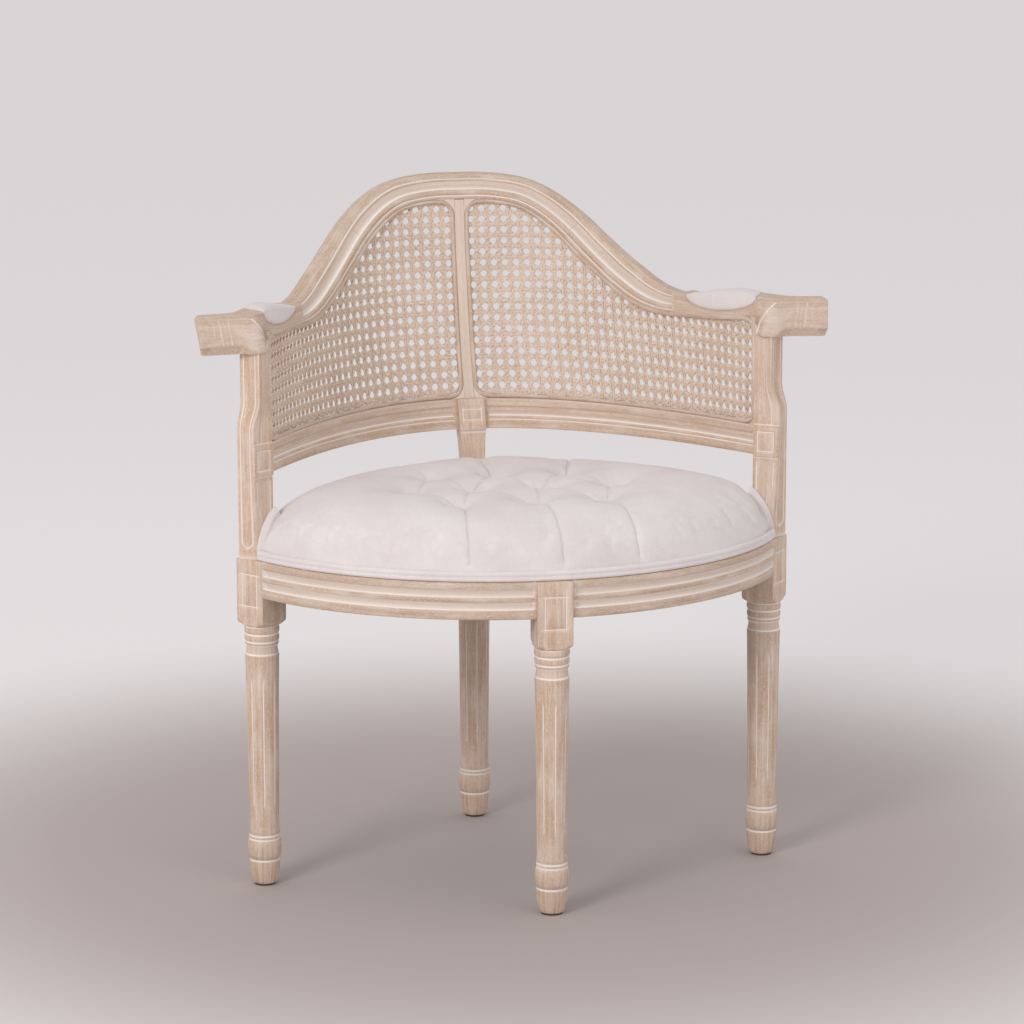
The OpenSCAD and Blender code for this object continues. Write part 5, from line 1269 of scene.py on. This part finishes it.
# %% Stuffing by cloth simulation
TUFTS = [(-87, 98), (-8, 98), (86, 98), (-125, 0), (-55, 0), (28, 0), (120, 0),
         (-84, -83), (10, -83), (95, -83)]
PLEATS = [((-87, 98), (-118, 190)), ((-8, 98), (-12, 250)), ((86, 98), (112, 194)),
          ((-84, -83), (-100, -208)), ((10, -83), (14, -220)), ((95, -83), (112, -206)),
          ((-87, 98), (-125, 0)), ((-87, 98), (-55, 0)), ((-8, 98), (-55, 0)), ((-8, 98), (28, 0)),
          ((86, 98), (28, 0)), ((86, 98), (120, 0)), ((-125, 0), (-84, -83)), ((-55, 0), (-84, -83)),
          ((-55, 0), (10, -83)), ((28, 0), (10, -83)), ((28, 0), (95, -83)), ((120, 0), (95, -83))]
VOXEL, PRESSURE, SWELL_LIMIT, CLOTH_FRAMES = 0.005, 4, 0.007, 20


def stuffed_copy(name, source, pinned):
    """A voxel remesh of the source mesh, swollen by cloth pressure up to a limit."""
    bm = bmesh.new()
    bm.from_mesh(source)
    bmesh.ops.remove_doubles(bm, verts=bm.verts, dist=0.00002)
    mesh = bpy.data.meshes.new(name)
    bm.to_mesh(mesh)
    bm.free()
    piece = bpy.data.objects.new(name, mesh)
    bpy.context.scene.collection.objects.link(piece)
    remesh = piece.modifiers.new("remesh", "REMESH")
    remesh.mode, remesh.voxel_size = "VOXEL", VOXEL
    bake(piece)
    before = mesh_points(piece.data)
    held = piece.vertex_groups.new(name="held")
    for index, weight in enumerate(pinned(before)):
        if weight > 0:
            held.add([index], float(weight), "REPLACE")
    cloth = piece.modifiers.new("cloth", "CLOTH")
    cloth.settings.vertex_group_mass = "held"
    cloth.settings.use_pressure = True
    cloth.settings.uniform_pressure_force = PRESSURE
    cloth.settings.effector_weights.gravity = 0
    cloth.settings.tension_stiffness = cloth.settings.compression_stiffness = 12
    cloth.settings.mass = 0.3
    cloth.point_cache.frame_start, cloth.point_cache.frame_end = 1, CLOTH_FRAMES
    for step in range(1, CLOTH_FRAMES + 1):
        bpy.context.scene.frame_set(step)
    bake(piece)
    bpy.context.scene.frame_set(1)
    move = mesh_points(piece.data) - before
    length = np.linalg.norm(move, axis=1, keepdims=True)
    after = before + move * np.minimum(1, SWELL_LIMIT / np.maximum(length, 1e-9))
    print(name, "swelled", round(float(np.minimum(length, SWELL_LIMIT).max()) * 1000, 1), "mm at most")
    piece.data.vertices.foreach_set("co", after.reshape(-1))
    smooth = piece.modifiers.new("finer", "SUBSURF")
    smooth.levels = smooth.render_levels = 1
    bake(piece)
    return piece


def bake(piece):
    """Turn the piece's modifiers into plain mesh."""
    depsgraph = bpy.context.evaluated_depsgraph_get()
    result = bpy.data.meshes.new_from_object(piece.evaluated_get(depsgraph))
    piece.modifiers.clear()
    piece.vertex_groups.clear()
    piece.data = result


def mesh_points(mesh, what="co"):
    values = np.empty(len(mesh.vertices) * 3)
    mesh.vertices.foreach_get(what, values)
    return values.reshape(-1, 3)


# %% [markdown]
# A pleat is a soft valley with a sharp crease at its bottom, and a tuft is a deep narrow dimple.
# Both are pressed into the stuffed mesh along its normals, after the mesh is cut finer there.

# %% Pleats and tufts
def along_segment(x, y, a, b):
    """Distance from the line a to b, and the share of the way along it."""
    a, b = np.array(a, float), np.array(b, float)
    way = b - a
    t = np.clip(((x - a[0]) * way[0] + (y - a[1]) * way[1]) / (way @ way), 0, 1)
    return np.hypot(x - a[0] - t * way[0], y - a[1] - t * way[1]), t


OUTER_PLEATS, PLEAT_DEPTH, TUFT_DEPTH = 6, 4.8, 11.2  # the first six pleats run out to the edge


def pressed_in(x, y):
    """Depth of the pleats and tufts at places on the seat."""
    depth = np.zeros_like(x)
    for i, (a, b) in enumerate(PLEATS):
        d, t = along_segment(x, y, a, b)
        fading = 0.35 * t if i < OUTER_PLEATS else 0.5 * np.sin(math.pi * t)
        deep = PLEAT_DEPTH * (1 - fading)
        depth = np.maximum(depth, deep * (0.5 * np.exp(-d / 5.5) + 0.5 * np.exp(-(d / 1.4) ** 1.5)))
    for tx, ty in TUFTS:
        d = np.hypot(x - tx, y - ty)
        depth = np.maximum(depth, TUFT_DEPTH * np.exp(-(d / 9.5) ** 1.05))
    return depth


def beside_post(x, y, z):
    """Where the cloth is drawn down to the tacks on the post's inner face."""
    face = unit(LOW_CORNERS[2] - LOW_CORNERS[1])
    away = np.stack([np.abs(x), y], -1) - LOW_CORNERS[1]
    along, off = away @ face, -(away @ np.array([face[1], -face[0]]))
    ends = np.clip(1 - np.maximum(-8 - along, along - 38) / 22, 0, 1)
    return 12.5 * np.exp(-np.maximum(off, 0) / 13) * ends**2 * np.clip((z - 432) / 18, 0, 1)


def finer_near_folds(mesh):
    """Cut the mesh finer where a pleat or tuft will be pressed in."""
    bm = bmesh.new()
    bm.from_mesh(mesh)
    spots = mesh_points(mesh) / 0.001 - SHIFT
    near = (pressed_in(spots[:, 0], spots[:, 1]) > 1.0) & (spots[:, 2] > 430)
    edges = [e for e in bm.edges if near[e.verts[0].index] and near[e.verts[1].index]]
    bmesh.ops.subdivide_edges(bm, edges=edges, cuts=2, use_grid_fill=True)
    bm.to_mesh(mesh)
    bm.free()


def cushion_pins(points):
    x, y, z = (points / 0.001 - SHIFT).T
    foot = z < 425
    tuft = np.min([np.hypot(x - tx, y - ty) for tx, ty in TUFTS], 0)
    return np.where(foot, 1.0, np.clip((14 - tuft) / 6, 0, 1))


cushion = stuffed_copy("cushion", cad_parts["seat_cushion"].data, cushion_pins)
finer_near_folds(cushion.data)
mesh = cushion.data
points, normals = mesh_points(mesh), mesh_points(mesh, "normal")
x, y, z = (points / 0.001 - SHIFT).T
topside = np.clip((normals[:, 2] + 0.35) / 0.5, 0, 1) * np.clip((z - 424) / 10, 0, 1)
points -= normals * ((pressed_in(x, y) * topside + beside_post(x, y, z)) * 0.001)[:, None]
mesh.vertices.foreach_set("co", points.reshape(-1))
# The cloth's own map: seen from above on the top, and unrolled down the sides
level = np.maximum(np.linalg.norm(normals[:, :2], axis=1), 1e-6)
fall = np.clip(0.49 - points[:, 2], 0, 0.1) * level**2
cloth_place = points[:, :2] + normals[:, :2] / level[:, None] * fall[:, None]
corners = np.empty(len(mesh.loops), np.int32)
mesh.loops.foreach_get("vertex_index", corners)
layer = mesh.uv_layers.new(name="grain")
layer.data.foreach_set("uv", cloth_place[corners].astype(np.float32).reshape(-1))
mesh.polygons.foreach_set("use_smooth", [True] * len(mesh.polygons))
mesh.materials.clear()
mesh.materials.append(linen)
mesh.update()
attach(cushion, "root")
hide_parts("seat_cushion")
print("cushion", len(mesh.polygons), "faces")

# %% [markdown]
# A gimp covers the tacks all round the seat. It is a flat band of the same linen with two soft
# ribs. At each post it turns up and climbs the post's inner face, because the cloth is tacked
# to the wood there, and bridges the corner between the face and the cushion.

# %% Gimp round the seat and up the posts
GIMP_SECTION = [  # inset from the seat's outline, height
    (6.5, 411.5), (2.4, 411.5), (1.3, 412.2), (0.7, 413.8), (0.7, 415.0), (1.2, 416.5), (1.45, 417.2),
    (1.2, 417.9), (0.75, 419.4), (0.9, 421.2), (1.7, 422.7), (3.0, 423.5), (6.5, 423.7)]
BAND_SECTION = np.array([  # across the band, out of it
    (-0.6, -1.0), (0.0, 0.9), (1.2, 1.9), (2.9, 2.1), (4.6, 1.5), (6.3, 2.1), (8.2, 1.9), (9.6, 0.9),
    (12.0, 0.2), (17.0, -0.8), (17.0, -3.4), (1.0, -3.0)])
# Angles, seen from the seat's middle, at which the gimp stops beside the posts and the stile
RIGHT_CUT, REAR_CUT = math.radians(-8.8), math.radians(-1.4)
stile_cut = math.radians(90) - 15.5 / 230
stretches = [np.linspace(-math.pi - RIGHT_CUT, RIGHT_CUT, 160), np.linspace(REAR_CUT, stile_cut, 90),
             np.linspace(math.pi - stile_cut, math.pi - REAR_CUT, 90)]
# The inner face of the post, which the gimp climbs
face_from = post_corners(np.array(435.0))[1]
face_dir = LOW_CORNERS[2] - face_from
face_len = float(np.linalg.norm(face_dir))
face_along = face_dir / face_len
face_in = -unit(np.array([face_dir[1], -face_dir[0]]))


def gimp_skin():
    skin = Skin()
    for angles in stretches:
        rings = np.stack([seat_point(angles, inset, height) for inset, height in GIMP_SECTION], 1)
        skin.add(rings)
    t = np.linspace(0, 1.03, 34) ** 2
    rise = 417 + 56 * np.sqrt(1 - np.clip(1 - t, 0, 1) ** 1.2)
    plane = np.concatenate([[(0, 411.8), (0, 414.4)], np.column_stack([t * face_len, rise])])
    way = unit(np.gradient(plane, axis=0))
    under = np.column_stack([way[:, 1], -way[:, 0]])
    along, inward = np.append(face_along, 0), np.append(face_in, 0)
    upright = np.array([0, 0, 1.0])
    spots = np.append(face_from + 0.3 * face_in, 0) + plane[:, :1] * along + plane[:, 1:] * upright
    under = under[:, :1] * along + under[:, 1:] * upright
    across, out = unit(under + inward), unit(inward - under)
    for sign in (1, -1):
        rings = (spots[:, None] + BAND_SECTION[None, :, :1] * across[:, None]
                 + BAND_SECTION[None, :, 1:] * out[:, None])
        skin.add(rings * [sign, 1, 1])
    return skin


gimp_skin().piece("gimp_band", linen, "linen", ["seat_gimp"], sharp=70)

# %% [markdown]
# The arm pads are thin stuffed lenses. They sink into the saddle of the arm, and their cloth
# is rolled under at the edge.

# %% Arm pads
PAD_TOP = [  # share of the way across, fall below the arm's top, rise of the stuffing
    (0, 0.1, 0.1), (0.05, 0.04, 0.42), (0.12, 0, 0.7), (0.22, 0, 0.88), (0.35, 0, 1), (0.5, 0, 1.04),
    (0.65, 0, 1), (0.78, 0, 0.88), (0.88, 0, 0.7), (0.95, 0.04, 0.42), (1, 0.1, 0.1)]


def pad_ring(u):
    """Section of a pad: its front roll, its crown, its rear roll and its seat in the saddle."""
    high, e, ledge, slope = arm_top(u), pad_round(u), pad_ledge(u), arm_lean(u)
    t, at_ledge = PAD_T * e, arm_face(u, ledge, slope)[0]
    drop, bulge, span = high - ledge, PAD_T * 0.3 * e, ARM_T - slope
    roll = [(1, ledge + drop * 0.35), (0.8, ledge + drop * 0.12)]
    ring = [(at_ledge, ledge + 0.15)] + [(at_ledge - bulge * out, z) for out, z in roll[::-1]]
    ring += [(slope + s * span, high - down * drop + rise * PAD_CROWN * e) for s, down, rise in PAD_TOP]
    ring += [(ARM_T + bulge * out, z) for out, z in roll]
    ring += [(ARM_T, ledge + 0.15), (ARM_T - t - 0.3, ledge + 0.15), (ARM_T - t - 0.3, high - t - 2),
             (ARM_T * 0.88 - t, high - t), (ARM_T / 2, high - t), (slope + t + ARM_T * 0.12, high - t),
             (slope + t + 0.3, high - t - 2), (at_ledge + t + 0.3, ledge + 0.15)]
    return [arm_place(u, a, b) for a, b in ring]


pad_rings = np.array([pad_ring(float(u)) for u in pad_places(49)])
for side, flip in SIDES:
    pad = Skin().add(pad_rings, 0.0)
    pad = pad.piece(f"pad_{side}", linen, "linen", [f"arm_pad_{side}"], sharp=60, flip_x=flip)

# %% [markdown]
# The parts under the seat are seldom seen, yet they are real parts. They keep their CAD shapes
# and each gets its own material on Object coordinates.

# %% Finishes of the hidden parts
def hidden_wood(name, pale, dark, grain=(20, 20, 300)):
    material, tree, shader = new_material(name, 0.66)
    place = add_node(tree, "ShaderNodeTexCoord").outputs["Object"]
    streak = noise(tree, stretch(tree, place, grain), 1.0, 4.0, 0.6)
    fleck = noise(tree, stretch(tree, place, (180, 180, 900)), 1.0, 2.0, 0.5)
    colour = mix_colour(tree, ramp(tree, streak, 0.3, 0.7), dark, pale)
    colour = mix_colour(tree, times(tree, ramp(tree, fleck, 0.55, 0.7), 0.35), colour, dark)
    tree.links.new(colour, shader.inputs["Base Color"])
    add_bump(tree, shader, streak, 0.3, 0.0004)
    return material


def plain_finish(name, pale, dark, roughness, scale, metal=0.0):
    material, tree, shader = new_material(name, roughness)
    shader.inputs["Metallic"].default_value = metal
    place = add_node(tree, "ShaderNodeTexCoord").outputs["Object"]
    cloud = noise(tree, stretch(tree, place, (scale, scale, scale)), 1.0, 4.0, 0.6)
    colour = mix_colour(tree, ramp(tree, cloud, 0.3, 0.7), dark, pale)
    tree.links.new(colour, shader.inputs["Base Color"])
    spread = add_node(tree, "ShaderNodeMapRange", [("Value", cloud)],
                      To_Min=roughness - 0.08, To_Max=roughness + 0.08)
    tree.links.new(spread.outputs["Result"], shader.inputs["Roughness"])
    add_bump(tree, shader, cloud, 0.3, 0.0002)
    return material


beech = hidden_wood("beech", (0.62, 0.46, 0.30), (0.50, 0.34, 0.20))
plywood = hidden_wood("plywood", (0.70, 0.56, 0.38), (0.58, 0.42, 0.26), (30, 220, 30))
cover_cloth = plain_finish("cover_cloth", (0.022, 0.022, 0.024), (0.010, 0.010, 0.011), 0.9, 900)
zinc = plain_finish("zinc", (0.62, 0.63, 0.66), (0.46, 0.47, 0.50), 0.34, 500, 1.0)
nylon = plain_finish("nylon", (0.050, 0.042, 0.036), (0.030, 0.025, 0.021), 0.55, 700)
HIDDEN = ((beech, ("rail_dowels", "corner_blocks", "top_rail_dowels")), (plywood, ("seat_board",)),
          (cover_cloth, ("dust_cover",)), (zinc, ("corner_bolts", "corner_washers", "seat_screws")),
          (nylon, ("foot_glides",)))
for material, nodes in HIDDEN:
    for node in nodes:
        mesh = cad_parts[node].data
        mesh.materials.clear()
        mesh.materials.append(material)
print("hidden parts finished")

# %% [markdown]
# The chair stands on a plain pale floor, a little darker near the chair. A large soft lamp hangs
# at the upper left, and the pale surroundings fill the shadows, so that the carving reads but
# nothing turns black.

# %% Floor and light
floor_mesh = bpy.data.meshes.new("floor")
FLOOR_HALF = 30
floor_mesh.from_pydata([(x * FLOOR_HALF, y * FLOOR_HALF, 0) for x, y in ((-1, -1), (1, -1), (1, 1), (-1, 1))],
                       [], [(0, 1, 2, 3)])
floor = bpy.data.objects.new("floor", floor_mesh)
bpy.context.scene.collection.objects.link(floor)
material, tree, shader = new_material("floor_paint", 0.85)
place = add_node(tree, "ShaderNodeTexCoord").outputs["Object"]
reach = add_node(tree, "ShaderNodeVectorMath", [("Vector", place)], operation="LENGTH")
NEAR_FLOOR, FAR_FLOOR = (0.455, 0.395, 0.38), (0.88, 0.845, 0.85)
colour = mix_colour(tree, ramp(tree, reach.outputs["Value"], 0.5, 1.35), NEAR_FLOOR, FAR_FLOOR)
tree.links.new(colour, shader.inputs["Base Color"])
floor_mesh.materials.append(material)


def soft_lamp(name, place, target, size, power, colour):
    data = bpy.data.lights.new(name, "AREA")
    data.shape, data.size, data.energy, data.color = "DISK", size, power, colour
    lamp = bpy.data.objects.new(name, data)
    lamp.location = place
    lamp.rotation_euler = (Vector(target) - Vector(place)).to_track_quat("-Z", "Y").to_euler()
    bpy.context.scene.collection.objects.link(lamp)


soft_lamp("key", (-3.0, -3.0, 2.7), (0, 0, 0.4), 1.5, 76, (1.0, 0.98, 0.96))
soft_lamp("fill", (2.0, -3.6, 1.6), (0, 0, 0.4), 2.4, 14, (1.0, 0.99, 0.98))
world = bpy.data.worlds.new("studio")
world.use_nodes = True
sky = world.node_tree.nodes["Background"]
sky.inputs["Color"].default_value = (0.93, 0.92, 0.925, 1)
sky.inputs["Strength"].default_value = 0.83
bpy.context.scene.world = world
bpy.context.scene.view_settings.view_transform = "Standard"
print("floor and lamps set")
